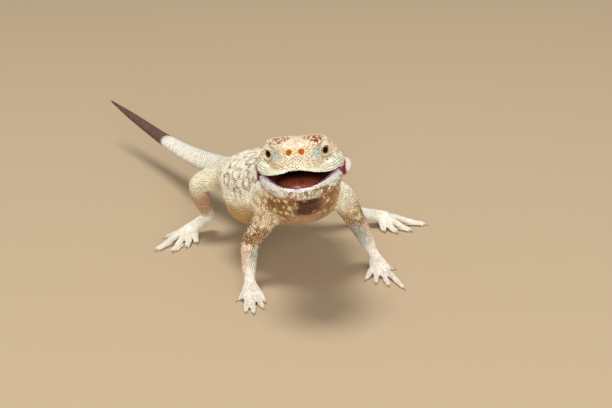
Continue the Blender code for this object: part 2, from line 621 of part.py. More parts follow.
def make_foot(kind, side, course):
    """A palm or sole with five toes, flat underneath."""
    foot, build = (FOREFEET if kind == "fore" else HINDFEET)[side], FOOT_BUILD[kind]
    start = WRIST_SHARE[kind] * course.length + GAP
    near, ahead, sizes = course.point(start), course.heading(start), course.at(start)[3:6]
    palm = Vector(foot.palm)
    level = Vector((palm.x - near.x, palm.y - near.y, 0.0)).normalized()
    aside = UP.cross(level) * SIDES[side]
    middle = mixed(near + ahead * 2.2, palm, 0.45)
    rows = [(*(near - ahead * 0.6), *sizes), (*(near + ahead * 1.8), *sizes)]
    rows.append((*middle, mixed(sizes[0], build.width, 0.6), build.height, build.height))
    rows.append((*palm, build.width, build.height, build.height))
    rows.append((*(palm + level * 1.3), build.width * 0.8, build.height * 0.7, build.height * 0.8))
    sole = Course(rows)
    body = body_length(FOOT_NODES[kind] + "_" + side, sole, 0.0, sole.length, 8, 12, UP.cross(level))
    trimmed(body, near, -ahead)
    pieces = []
    for number, tip in enumerate(foot.tips):
        root = palm + aside * TOE_ROOTS_ASIDE[number] * build.width + level * TOE_ROOTS_AHEAD[number]
        pieces += toe_pieces(root, tip, build, number in FRINGED_TOES[kind])
    combined(body, pieces, "UNION")
    trimmed(body, Vector((0.0, 0.0, 0.0)), -UP)
    for corner in body.data.vertices:
        corner.co.z = 0.0 if corner.co.z < MERGE else corner.co.z
    return body


def make_tail(spine):
    """The tail in three lengths, held clear of the floor."""
    lengths = (("tail_base", VENT, TAIL_BASE_END, 6, 16), ("tail_middle", TAIL_BASE_END, TAIL_MIDDLE_END, 5, 12),
               ("tail_tip", TAIL_MIDDLE_END, spine.length, 7, 10))
    return [body_length(name, spine, start + GAP, end, steps, sides, LEFTWARD, spine_squareness)
            for name, start, end, steps, sides in lengths]


def finish_of(name):
    """The finish that a node takes, by the first word of its name."""
    kinds = {"head": "head_skin", "lower": "head_skin", "tongue": "mouth_skin", "eye": "eye",
             "hand": "foot_skin", "foot": "foot_skin", "neck": "body_skin", "torso": "body_skin"}
    if name == "tail_tip":
        return "tail_dark_skin"
    return "tail_skin" if name.startswith("tail") else kinds.get(name.split("_")[0], "limb_skin")


def dressed(item):
    """Gives a node its own material and smooth shading."""
    colour, roughness = FINISHES[finish_of(item.name)]
    material = bpy.data.materials.new(item.name + "_finish")
    material.use_nodes = True
    shader = material.node_tree.nodes["Principled BSDF"]
    shader.inputs["Base Color"].default_value = (*colour, 1.0)
    shader.inputs["Roughness"].default_value = roughness
    item.data.materials.clear()
    item.data.materials.append(material)
    item.data.shade_smooth()
    item.data.set_sharp_from_angle(angle=math.radians(50))


def main():
    """Builds every node and gathers them in the model's collection."""
    for item in list(bpy.data.objects):
        bpy.data.objects.remove(item)
    spine = Course(SPINE)
    nodes = [make_head(), make_lower_jaw(), make_tongue(), make_neck(spine), make_torso(spine)]
    nodes += make_tail(spine)
    nodes += [make_eye(side) for side in SIDES]
    for kind, side, course in limb_courses():
        nodes += make_limb(kind, side, course)
        nodes.append(make_foot(kind, side, course))
    home = bpy.data.collections.new(MODEL)
    bpy.context.scene.collection.children.link(home)
    for item in nodes:
        bpy.context.scene.collection.objects.unlink(item)
        home.objects.link(item)
        dressed(item)


main()
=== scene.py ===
"""Dressed model of a secret toad-headed agama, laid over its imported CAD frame, for Blender 4.5.

The lizard stands with its head up, its mouth open and its tail off the ground. One skin takes the
place of the CAD body; scales, eyes, tongue, teeth and claws are set on it. Shapes are worked out in
millimetres, with the head towards -Y and the animal's left at +X, and are made in metres.
"""

import logging
import math
from collections.abc import Callable
from dataclasses import dataclass, field
from enum import Enum, IntEnum
from functools import partial
from itertools import product

import bpy
import numpy as np
from mathutils import Matrix, Vector
from mathutils.bvhtree import BVHTree
from mathutils.kdtree import KDTree


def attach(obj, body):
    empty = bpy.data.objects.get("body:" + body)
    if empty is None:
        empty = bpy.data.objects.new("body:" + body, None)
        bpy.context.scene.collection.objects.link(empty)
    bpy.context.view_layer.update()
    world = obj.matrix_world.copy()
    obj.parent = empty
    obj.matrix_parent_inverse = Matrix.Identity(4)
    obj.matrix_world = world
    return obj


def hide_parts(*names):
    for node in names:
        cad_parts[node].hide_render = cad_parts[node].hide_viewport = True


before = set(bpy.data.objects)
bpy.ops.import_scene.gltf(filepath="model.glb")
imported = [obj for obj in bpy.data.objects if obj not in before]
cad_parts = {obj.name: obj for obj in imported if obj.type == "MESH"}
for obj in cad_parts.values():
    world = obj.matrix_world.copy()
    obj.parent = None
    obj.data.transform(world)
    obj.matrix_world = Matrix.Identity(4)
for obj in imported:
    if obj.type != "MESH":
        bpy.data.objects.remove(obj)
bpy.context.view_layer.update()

LOG = logging.getLogger("agama")
MM = 0.001
ORIGIN = np.array((8.5, 95.74, 0.0))  # the CAD model's origin in the millimetre frame
SEED = 20611
UP = np.array((0.0, 0.0, 1.0))
LEFTWARD = np.array((1.0, 0.0, 0.0))
REARWARD = np.array((0.0, 1.0, 0.0))
PATTERNS = ("net", "ring", "spot", "fleck", "rust", "gorge", "wet")  # strengths stored on skin and scales

Array = np.ndarray
Object = bpy.types.Object
Material = bpy.types.Material


class Side(IntEnum):
    """The animal's sides, as signs along X."""

    LEFT = 1
    RIGHT = -1

    @property
    def label(self) -> str:
        """The side's name in pieces and nodes."""
        return self.name.lower()


class Leg(Enum):
    """The pairs of legs."""

    FORE = "fore"
    HIND = "hind"


class Region(IntEnum):
    """The forms of flesh that the skin is laid over."""

    TRUNK = 0
    SKULL = 1
    THROAT = 2
    JAW = 3
    LIP = 4
    LID = 5
    FOLD = 6
    ARM = 7
    LEG = 8
    HAND = 9
    FOOT = 10
    FINGER = 11
    TOE = 12


# Distance between the scales of each form, in millimetres.
SCALE_SPACING = {Region.ARM: 0.78, Region.LEG: 0.84, Region.HAND: 0.66, Region.FOOT: 0.66, Region.FINGER: 0.5,
                 Region.TOE: 0.5}

# The spine: point, half width, and heights of back and belly over and under that point.
SPINE = (
    (-8.4, 8.4, 45.6, 9.6, 6.8, 8.2), (-7.2, 11.2, 44.6, 8.9, 6.8, 8.2),
    (-5.2, 16.0, 41.2, 8.7, 7.2, 8.8), (-3.4, 21.5, 36.6, 10.0, 7.8, 10.6),
    (-2.0, 28.5, 32.4, 12.8, 8.8, 11.9), (-1.0, 38.5, 29.6, 16.4, 9.6, 12.8),
    (-0.4, 54.0, 27.2, 19.0, 10.2, 14.8), (0.3, 67.0, 24.6, 15.3, 8.4, 10.8),
    (0.3, 77.5, 21.6, 11.2, 6.2, 7.2), (-1.3, 88.0, 19.4, 7.6, 4.5, 4.8),
    (-4.4, 100.0, 18.2, 5.9, 3.4, 3.4), (-6.6, 110.0, 17.3, 5.0, 3.0, 3.0),
    (-8.6, 131.7, 15.4, 3.7, 2.5, 2.4), (-10.6, 153.7, 14.9, 2.6, 2.0, 1.9),
    (-14.4, 181.7, 16.6, 1.6, 1.35, 1.25), (-17.7, 205.0, 18.4, 0.4, 0.35, 0.35),
)
SQUARENESS = ((0.0, 0.9), (22.0, 0.9), (46.0, 0.68), (62.0, 0.72), (88.0, 1.0), (240.0, 1.0))
LIMB_SQUARENESS = 0.95
SHOULDER, VENT = 52.0, 88.0  # along the spine, where one piece of the coat gives way to the next
RING_ROOM = 6.1  # from one ring of the pattern to the next
BLOTCH_TURN = math.radians(262.0)  # where on the chest the dark blotch lies

# The head: measured forward, out and up from the middle of the line between the mouth's corners.
HEAD_AT = np.array((-10.5, 3.7, 46.5))
HEAD_TURN = math.radians(23.0)
HEAD_ROLL = math.radians(2.6)
HEAD_AHEAD = np.array((-math.sin(HEAD_TURN), -math.cos(HEAD_TURN), 0.0))
HEAD_LEFT = np.cross(UP, HEAD_AHEAD) * math.cos(HEAD_ROLL) + UP * math.sin(HEAD_ROLL)
HEAD_UP = np.cross(HEAD_AHEAD, HEAD_LEFT)
# Columns: forward, palate, lip width and height, cheek, orbit and brow widths and heights, crown.
SKULL = (
    (-7.6, -2.0, 9.8, -1.2, 10.2, 1.2, 8.8, 4.2, 6.4, 6.0, 6.6),
    (-4.0, -1.2, 11.6, -0.8, 11.9, 2.0, 10.0, 5.4, 7.6, 7.7, 8.0),
    (0.0, 2.6, 12.2, 0.1, 12.2, 3.2, 10.0, 6.6, 8.4, 8.8, 9.3),
    (4.0, 3.3, 12.0, 1.3, 11.9, 3.6, 9.3, 6.9, 8.7, 9.8, 10.2),
    (7.0, 3.7, 11.3, 1.7, 11.1, 4.0, 8.2, 7.1, 8.5, 10.4, 10.9),
    (10.0, 4.2, 10.0, 1.9, 9.7, 4.6, 7.0, 7.6, 7.4, 10.7, 11.3),
    (13.0, 4.6, 8.0, 2.5, 7.8, 5.2, 5.6, 8.0, 5.2, 10.7, 11.4),
    (15.5, 4.7, 5.6, 3.4, 5.5, 5.9, 4.3, 8.3, 3.5, 10.6, 11.1),
    (17.2, 5.0, 2.8, 4.5, 2.9, 6.3, 2.4, 8.2, 1.9, 9.8, 10.2),
    (18.0, 5.6, 1.1, 5.3, 1.3, 6.5, 1.1, 7.8, 0.8, 8.8, 9.0),
)
# Columns: forward, top, width and bottom.
THROAT = (
    (-7.6, 1.0, 9.6, -9.6), (-4.0, 1.6, 11.2, -9.2), (0.0, 2.2, 12.0, -8.4),
)
# Columns: forward, width, lip, floor and bottom.
JAW = (
    (-0.6, 12.0, 0.1, -2.4, -8.3), (5.0, 11.4, 0.15, -2.6, -7.4), (10.0, 9.5, 0.05, -2.8, -6.3),
    (14.0, 6.1, -0.65, -2.6, -5.3), (16.0, 3.0, -0.85, -1.1, -4.4), (16.7, 1.2, -0.9, -0.9, -3.4),
)
BROW_BULGE = 0.045
EYE_AT = (8.5, 6.75, 7.7)
EYE_RADIUS = 2.4
EYE_LOOK = (0.66, 0.74, 0.10)  # where the opening of the lids faces
EYE_GAZE = (0.74, 0.66, 0.10)  # where the eyeball itself looks
LID_OPENING = (1.75, 1.3)  # half width and half height
LID_RADIUS = 3.1
LID_BARE = 1.7  # no scattered scales grow this near the opening, where the rings of grains lie
ORBIT_RING = 2.5  # from the line of sight; beyond it the skin may rise from the lids
ORBIT_SLOPE = 1.1
NOSTRIL_AT = (17.0, 1.8, 10.0)
NOSTRIL_BARE = 1.2  # round a nostril's middle, free of scales
LIP_ROLL = 0.42
CHIN_TIP = (15.2, 15.8)  # forward, where the pale lip turns from the jaw's sides to its tip
LABIAL_RISE = 3.9  # height of the rows of lip shields over the lip's edge
GULLET_UP = 0.1  # the hollow behind the tongue: middle, half sizes and depth
GULLET_HALF = (10.5, 2.9)
GULLET_DEPTH = 5.5
# The fold at a corner of the mouth: forward, out, up, half reach and half thickness.
FOLD = (
    (-0.9, 11.9, 1.0, 0.6, 0.4), (-1.4, 12.7, 0.2, 1.7, 0.5), (-1.6, 12.9, -1.0, 1.9, 0.55),
    (-1.5, 12.5, -2.2, 1.4, 0.5), (-1.2, 11.7, -3.6, 0.7, 0.4),
)

# The legs' courses, with the half sizes of their sections.
LEGS = {
    (Leg.FORE, Side.LEFT): (
        (5.0, 25.5, 30.0, 4.6, 4.6, 4.6), (10.4, 26.2, 27.4, 4.1, 4.1, 4.1),
        (14.8, 29.6, 21.0, 3.6, 3.4, 3.4), (18.0, 31.8, 15.6, 2.9, 2.9, 2.9),
        (20.4, 31.0, 10.4, 2.5, 2.4, 2.4), (22.2, 29.6, 5.6, 1.9, 1.8, 1.8),
        (22.4, 27.6, 3.4, 2.2, 1.5, 1.5),
    ),
    (Leg.FORE, Side.RIGHT): (
        (-7.0, 28.5, 29.4, 4.6, 4.6, 4.6), (-11.2, 29.6, 25.6, 4.1, 4.1, 4.1),
        (-14.6, 32.0, 19.4, 3.6, 3.4, 3.4), (-17.6, 33.4, 14.0, 2.9, 2.8, 2.8),
        (-19.2, 30.8, 9.2, 2.4, 2.3, 2.3), (-20.6, 27.0, 4.8, 1.9, 1.8, 1.8),
        (-21.0, 25.0, 3.2, 2.2, 1.5, 1.5),
    ),
    (Leg.HIND, Side.LEFT): (
        (2.0, 78.2, 21.4, 5.4, 4.8, 4.8), (11.0, 74.6, 22.4, 4.8, 4.4, 4.4),
        (17.6, 70.6, 23.0, 3.9, 3.7, 3.7), (22.8, 67.6, 21.4, 3.0, 3.0, 3.0),
        (26.2, 69.4, 13.6, 2.6, 2.6, 2.6), (28.4, 70.0, 6.4, 1.9, 1.9, 1.9),
        (31.0, 68.8, 4.4, 2.0, 1.6, 1.6),
    ),
    (Leg.HIND, Side.RIGHT): (
        (-4.0, 78.0, 21.4, 5.4, 4.8, 4.8), (-12.0, 76.6, 22.2, 4.8, 4.4, 4.4),
        (-17.4, 75.4, 22.8, 3.9, 3.7, 3.7), (-21.0, 76.0, 21.2, 3.0, 3.0, 3.0),
        (-18.2, 81.0, 13.4, 2.6, 2.6, 2.6), (-15.4, 85.6, 6.2, 1.9, 1.9, 1.9),
        (-17.4, 85.8, 4.0, 2.0, 1.6, 1.6),
    ),
}
# Where each palm or sole ends, and the tips of toes 1 to 5 on the floor.
FEET = {
    (Leg.FORE, Side.LEFT): (
        (22.2, 23.4, 1.7), ((14.8, 19.4), (16.9, 14.8), (20.0, 11.0), (23.6, 7.0), (28.4, 24.4)),
    ),
    (Leg.FORE, Side.RIGHT): (
        (-22.2, 20.6, 1.7), ((-19.2, 15.6), (-21.4, 11.4), (-25.8, 8.6), (-27.9, 10.8), (-27.4, 21.8)),
    ),
    (Leg.HIND, Side.LEFT): (
        (41.0, 64.6, 3.6), ((38.4, 56.6), (42.0, 53.9), (47.4, 53.4), (54.9, 57.6), (50.2, 68.4)),
    ),
    (Leg.HIND, Side.RIGHT): (
        (-23.0, 84.2, 3.0), ((-22.8, 75.6), (-27.2, 73.4), (-32.8, 71.9), (-37.9, 76.0), (-32.0, 87.0)),
    ),
}
# Half width and height of the palm or sole, toe half thickness at root and tip, arch of the toe.
FOOT_BUILD = {Leg.FORE: (3.3, 1.35, 0.92, 0.66, 0.4), Leg.HIND: (2.9, 1.6, 1.15, 0.82, 0.7)}
TOE_ROOTS_ASIDE = (-0.76, -0.40, 0.0, 0.40, 0.74)  # in half widths of the foot
TOE_ROOTS_AHEAD = (-1.2, -0.2, 0.2, 0.0, -2.0)  # in millimetres
FRINGED_TOES = (2, 3)  # the long toes of the hind feet, counted from 0
CLAW_LENGTH = 1.9
WRIST_SHARE = {Leg.FORE: 0.91, Leg.HIND: 0.87}  # where along a leg its foot starts


def smooth(low: float, high: float, value: Array) -> Array:
    """A smooth rise from 0 where value is low to 1 where it is high."""
    t = np.clip((np.asarray(value, float) - low) / (high - low), 0.0, 1.0)
    return t * t * (3.0 - 2.0 * t)


def unit(vectors: Array) -> Array:
    """Vectors, or one vector, made one long."""
    return vectors / np.maximum(np.linalg.norm(vectors, axis=-1, keepdims=True), 1e-12)


def round_turns(count: int) -> Array:
    """Evenly spaced angles round a circle, in radians."""
    return 2 * np.pi * np.arange(count) / count


def run_marks(points: Array) -> Array:
    """The distance of each point of a run along it, from 0."""
    return np.concatenate(([0.0], np.cumsum(np.linalg.norm(np.diff(points, axis=0), axis=1))))


def tube_faces(rows: int, around: int, first: int = 0) -> list[list[int]]:
    """Faces between closed rings of points.

    Args:
        rows: how many rings there are.
        around: how many points each has.
        first: number of the first point.

    Returns:
        The corners of each face.
    """
    faces = []
    for base in range(first, first + (rows - 1) * around, around):
        for j in range(around):
            k = (j + 1) % around
            faces.append([base + j, base + k, base + around + k, base + around + j])
    return faces


def lattice_noise(points: Array, cell: float, seed: int) -> Array:
    """Smooth noise from -1 to 1.

    Args:
        points: where it is read, one row each, in millimetres.
        cell: size of its lumps in millimetres.
        seed: which noise of many.

    Returns:
        One value for each point.
    """
    place = points / cell
    base = np.floor(place)
    t = place - base
    t = t * t * (3.0 - 2.0 * t)
    base = base.astype(np.int64)
    total = np.zeros(len(points))
    for corner in product((0, 1), repeat=3):
        key = base + np.array(corner)
        mixed = key[:, 0] * 73856093 ^ key[:, 1] * 19349663 ^ key[:, 2] * 83492791 ^ seed * 2654435761
        mixed = (mixed ^ (mixed >> 13)) * 1274126177 & 0xFFFFFFFF
        mixed = (mixed ^ (mixed >> 16)) * 2246822519 & 0xFFFFFFFF
        share = np.prod(np.where(np.array(corner) == 1, t, 1.0 - t), axis=1)
        total += share * ((mixed ^ (mixed >> 15)) % 65536 / 32767.5 - 1.0)
    return total


def head_point(forward: Array, out: Array, up: Array) -> Array:
    """Points measured on the head, in millimetres."""
    forward, out, up = (np.asarray(value, float)[..., None] for value in (forward, out, up))
    return HEAD_AT + HEAD_AHEAD * forward + HEAD_LEFT * out + HEAD_UP * up


def head_direction(forward: float, out: float, up: float) -> Array:
    """A unit direction measured on the head."""
    return unit(HEAD_AHEAD * forward + HEAD_LEFT * out + HEAD_UP * up)


def head_measures(points: Array) -> tuple[Array, Array, Array]:
    """How far forward, out and up points are on the head."""
    away = points - HEAD_AT
    return away @ HEAD_AHEAD, away @ HEAD_LEFT, away @ HEAD_UP


class Course:
    """A smooth line through rows of numbers, with slopes taken from each row's neighbours."""

    def __init__(self, rows: tuple, places: int = 3) -> None:
        """Keeps the rows.

        Args:
            rows: the numbers at each station.
            places: how many of the first columns measure the distance along.
        """
        self.rows = np.array(rows, float)
        self.marks = run_marks(self.rows[:, :places])
        self.length = float(self.marks[-1])
        order = np.arange(len(self.rows))
        after, before = np.minimum(order + 1, len(order) - 1), np.maximum(order - 1, 0)
        self.slopes = self.rows[after] - self.rows[before]
        self.slopes /= (self.marks[after] - self.marks[before])[:, None]

    def at(self, along: Array) -> Array:
        """The numbers of the rows anywhere along the line.

        Args:
            along: distances along it.

        Returns:
            Every column, one row for each distance.
        """
        along = np.clip(np.atleast_1d(np.asarray(along, float)), 0.0, self.length)
        i = np.clip(np.searchsorted(self.marks, along, side="right") - 1, 0, len(self.marks) - 2)
        step = (self.marks[i + 1] - self.marks[i])[:, None]
        t = (along[:, None] - self.marks[i][:, None]) / step
        start, leave = 2 * t**3 - 3 * t**2 + 1, (t**3 - 2 * t**2 + t) * step
        end, arrive = 3 * t**2 - 2 * t**3, (t**3 - t**2) * step
        return (start * self.rows[i] + leave * self.slopes[i]
                + end * self.rows[i + 1] + arrive * self.slopes[i + 1])

    def heading(self, along: Array) -> Array:
        """The line's direction.

        Args:
            along: distances along it.

        Returns:
            One unit direction for each distance.
        """
        along = np.atleast_1d(np.asarray(along, float))
        reach = 0.3
        far, near = self.at(np.minimum(along + reach, self.length)), self.at(np.maximum(along - reach, 0.0))
        return unit(far[:, :3] - near[:, :3])

    def skin_points(self, along: Array, turn: Array, across: Array, squareness: Array) -> Array:
        """Points on the oval sections of a length of body.

        Args:
            along: distances along the line.
            turn: angles from the side towards the top, in radians.
            across: direction that the side lies nearest to.
            squareness: 1 for an oval, less for fuller corners.

        Returns:
            One point for each distance, in millimetres.
        """
        row, ahead = self.at(along), self.heading(along)
        side = unit(across - ahead * (ahead @ across)[:, None])
        over = np.cross(side, ahead)
        c, s = np.cos(turn), np.sin(turn)
        out = np.sign(c) * np.abs(c) ** squareness * row[:, 3]
        high = np.sign(s) * np.abs(s) ** squareness * np.where(s > 0, row[:, 4], row[:, 5])
        return row[:, :3] + side * out[:, None] + over * high[:, None]


SPINE_COURSE = Course(SPINE)
SQUARE_COURSE = Course(SQUARENESS, places=1)
SKULL_COURSE = Course(SKULL, places=1)
JAW_COURSE = Course(JAW, places=1)


@dataclass
class Flesh:
    """One closed loft of flesh, whose faces know where on it they are."""

    region: Region
    rings: Array  # rows of rings of points
    along: Array  # where each ring is
    turn: Array  # where on its ring each point is
    side: int = 0


@dataclass
class Sheet:
    """A run of scale rows round a length of body."""

    region: Region
    course: Course
    start: float
    end: float
    across: Array
    squareness: float | None  # None where it changes along the trunk
    side: int = 0

    def points(self, along: Array, turn: Array) -> Array:
        """Points of the flesh under the scales.

        Args:
            along: distances along the course.
            turn: angles round it.

        Returns:
            One point for each.
        """
        square = np.full(len(turn), self.squareness)
        if self.squareness is None:
            square = SQUARE_COURSE.at(along)[:, 1]
        return self.course.skin_points(along, turn, self.across, square)


class Blueprint:
    """All the flesh of the animal before it is fused, and what its faces know."""

    def __init__(self) -> None:
        """Starts with no flesh."""
        self.points: list[Array] = []
        self.faces: list[list[int]] = []
        self.facts: list[tuple[float, float, float, float]] = []
        self.count = 0
        self.tree: BVHTree | None = None

    def add(self, flesh: Flesh) -> None:
        """Adds one loft and closes both its ends.

        Args:
            flesh: the loft.
        """
        rows, around = flesh.rings.shape[:2]
        first = self.count
        self.points.append(flesh.rings.reshape(-1, 3))
        self.points.append(np.array((flesh.rings[0].mean(0), flesh.rings[-1].mean(0))))
        self.faces += tube_faces(rows, around, first)
        spots = product(flesh.along[:-1], flesh.turn)
        self.facts += [(flesh.region, *spot, flesh.side) for spot in spots]
        ends = (first, first + (rows - 1) * around)
        for end, (base, mark) in enumerate(zip(ends, (flesh.along[0], flesh.along[-1]))):
            middle = first + rows * around + end
            for j in range(around):
                edge = (base + j, base + (j + 1) % around)
                self.faces.append([*(edge if end else edge[::-1]), middle])
                self.facts.append((flesh.region, mark, flesh.turn[j], flesh.side))
        self.count += rows * around + 2

    def finish(self) -> None:
        """Gathers the flesh and makes it searchable."""
        self.points = np.concatenate(self.points)
        self.facts = np.array(self.facts, float)
        self.tree = BVHTree.FromPolygons(self.points.tolist(), self.faces)

    def facts_near(self, points: Array) -> Array:
        """Region, distance along, turn and side of the flesh nearest to each point."""
        return self.facts[[self.tree.find_nearest(point)[2] for point in points.tolist()]]


def tube_flesh(sheet: Sheet, step: float, around: int) -> Flesh:
    """A length of body as flesh.

    Args:
        sheet: its course, ends and section.
        step: distance between rings in millimetres.
        around: points in a ring.

    Returns:
        The loft.
    """
    stops = np.linspace(sheet.start, sheet.end, max(3, round((sheet.end - sheet.start) / step) + 1))
    turns = round_turns(around)
    rings = np.array([sheet.points(np.full(around, stop), turns) for stop in stops])
    return Flesh(sheet.region, rings, stops, turns, sheet.side)


def skull_outline(row: Array) -> Array:
    """Half of the upper head's section.

    Args:
        row: the sizes there, in the columns of SKULL.

    Returns:
        Corners from the middle of the palate to the middle of the crown, out and up.
    """
    _, palate, lip_w, lip, cheek_w, cheek, orbit_w, orbit, brow_w, brow, crown = row
    swell = brow + (crown - brow) * 0.75 + BROW_BULGE * brow_w
    return np.array((
        (0.0, palate), (0.62 * lip_w, palate + (lip - palate) * 0.25),
        (0.88 * lip_w, palate + (lip - palate) * 0.8), (lip_w, lip), (cheek_w, cheek),
        (orbit_w, orbit), (brow_w, brow), (0.6 * brow_w, swell), (0.0, crown),
    ))


def throat_outline(row: Array) -> Array:
    """Half of the section behind the mouth, below the upper head.

    Args:
        row: the sizes there, in the columns of THROAT.

    Returns:
        Corners from the top round to the underside, out and up.
    """
    _, top, width, bottom = row
    return np.array((
        (0.0, top), (0.7 * width, top), (0.97 * width, 0.4 * top), (width, 0.25 * bottom),
        (0.93 * width, 0.55 * bottom), (0.62 * width, 0.9 * bottom), (0.0, bottom),
    ))


def jaw_outline(row: Array) -> Array:
    """Half of the lower jaw's section.

    Args:
        row: the sizes there, in the columns of JAW.

    Returns:
        Corners from the middle of its floor round to its underside, out and up.
    """
    _, width, lip, floor, bottom = row
    drop = bottom - lip
    return np.array((
        (0.0, floor), (0.58 * width, floor + (lip - floor) * 0.15),
        (0.87 * width, floor + (lip - floor) * 0.85), (0.94 * width, lip + 0.1),
        (width, lip + drop * 0.12), (0.95 * width, lip + drop * 0.5),
        (0.66 * width, lip + drop * 0.9), (0.0, bottom),
    ))


def head_flesh(region: Region, course: Course, outline: Callable[[Array], Array], start: float, end: float,
               rows: int) -> Flesh:
    """A loft along the head through its own kind of section.

    Args:
        region: what it is.
        course: its rows of sizes.
        outline: gives half of a section for a row of sizes.
        start: where it starts, forward on the head.
        end: where it ends.
        rows: how many rings it has.

    Returns:
        The loft, whose turns count the corners of the half outline.
    """
    fine = 6  # points between two corners
    stops = np.linspace(start, end, rows)
    rings = []
    for stop, row in zip(stops, course.at(stops - course.rows[0][0])):
        half = Course(outline(row), places=2)
        gaps = zip(half.marks, half.marks[1:])
        marks = np.concatenate([np.linspace(a, b, fine, endpoint=False) for a, b in gaps])
        out, up = half.at(np.append(marks, half.length))[:, :2].T
        left, right = head_point(stop, out, up), head_point(stop, -out[-2:0:-1], up[-2:0:-1])
        rings.append(np.concatenate((left, right)))
    corners = np.arange(len(marks) + 1) / fine
    return Flesh(region, np.array(rings), stops, np.concatenate((corners, corners[-2:0:-1])))


def labial_squeeze(forward: Array) -> Array:
    """How far the rows of lip shields have closed up, this far forward on the head."""
    return 1.0 - 0.72 * smooth(10.5, 17.4, forward)


def over_lip(forward: Array, up: Array) -> Array:
    """How far points are over the edge of the upper lip."""
    return up - np.interp(forward, SKULL_COURSE.rows[:, 0], SKULL_COURSE.rows[:, 3])


def gullet_share(out: Array, up: Array) -> Array:
    """How near points are to the rim of the gullet: 0 on its axis and 1 at its rim."""
    return np.hypot(out / GULLET_HALF[0], (up - GULLET_UP) / GULLET_HALF[1])


def eye_frame(hand: int, look: tuple[float, float, float] = EYE_LOOK) -> tuple[Array, Array, Array, Array]:
    """The place and directions of an eye.

    Args:
        hand: its side.
        look: where it faces, measured on the head.

    Returns:
        Its middle, its level direction, its upward one, and where it faces.
    """
    look = head_direction(look[0], hand * look[1], look[2])
    level = unit(np.cross(UP, look))
    return head_point(EYE_AT[0], hand * EYE_AT[1], EYE_AT[2]), level, np.cross(look, level), look


def nostril_point(hand: int) -> Array:
    """The middle of a nostril."""
    return head_point(NOSTRIL_AT[0], hand * NOSTRIL_AT[1], NOSTRIL_AT[2])


def fold_course(hand: int) -> Course:
    """The line of the skin fold at one corner of the mouth."""
    return Course([(*head_point(f, hand * out, up), reach, thick, thick)
                   for f, out, up, reach, thick in FOLD])


def toe_line(palm: Array, aside: Array, level: Array, number: int, tip: tuple, build: tuple) -> tuple:
    """The line of a toe from its root to where its claw starts.

    Args:
        palm: where the palm or sole ends.
        aside: direction across the foot towards the last toe.
        level: direction along the foot.
        number: which toe, from 0.
        tip: where its claw ends on the floor.
        build: the sizes of this kind of foot.

    Returns:
        The rows of the toe's course and the direction it points in.
    """
    width, _, root_size, tip_size, arch = build
    root = palm + aside * TOE_ROOTS_ASIDE[number] * width + level * TOE_ROOTS_AHEAD[number]
    flat = np.array((tip[0] - root[0], tip[1] - root[1], 0.0))
    ahead, reach = unit(flat), np.linalg.norm(flat) - CLAW_LENGTH
    rows = []
    for stop in np.linspace(0.0, 1.0, 11):
        fall = min(stop * 1.5, 1.0)
        height = root[2] + (tip_size * 0.8 - root[2]) * fall + arch * math.sin(math.pi * stop)
        size = (root_size + (tip_size - root_size) * stop) * (1 + 0.07 * math.cos(6 * math.pi * stop))
        place = np.array((root[0], root[1], 0.0)) + ahead * reach * stop + UP * height
        rows.append((*place, size, size, size * 0.95))
    return tuple(rows), ahead


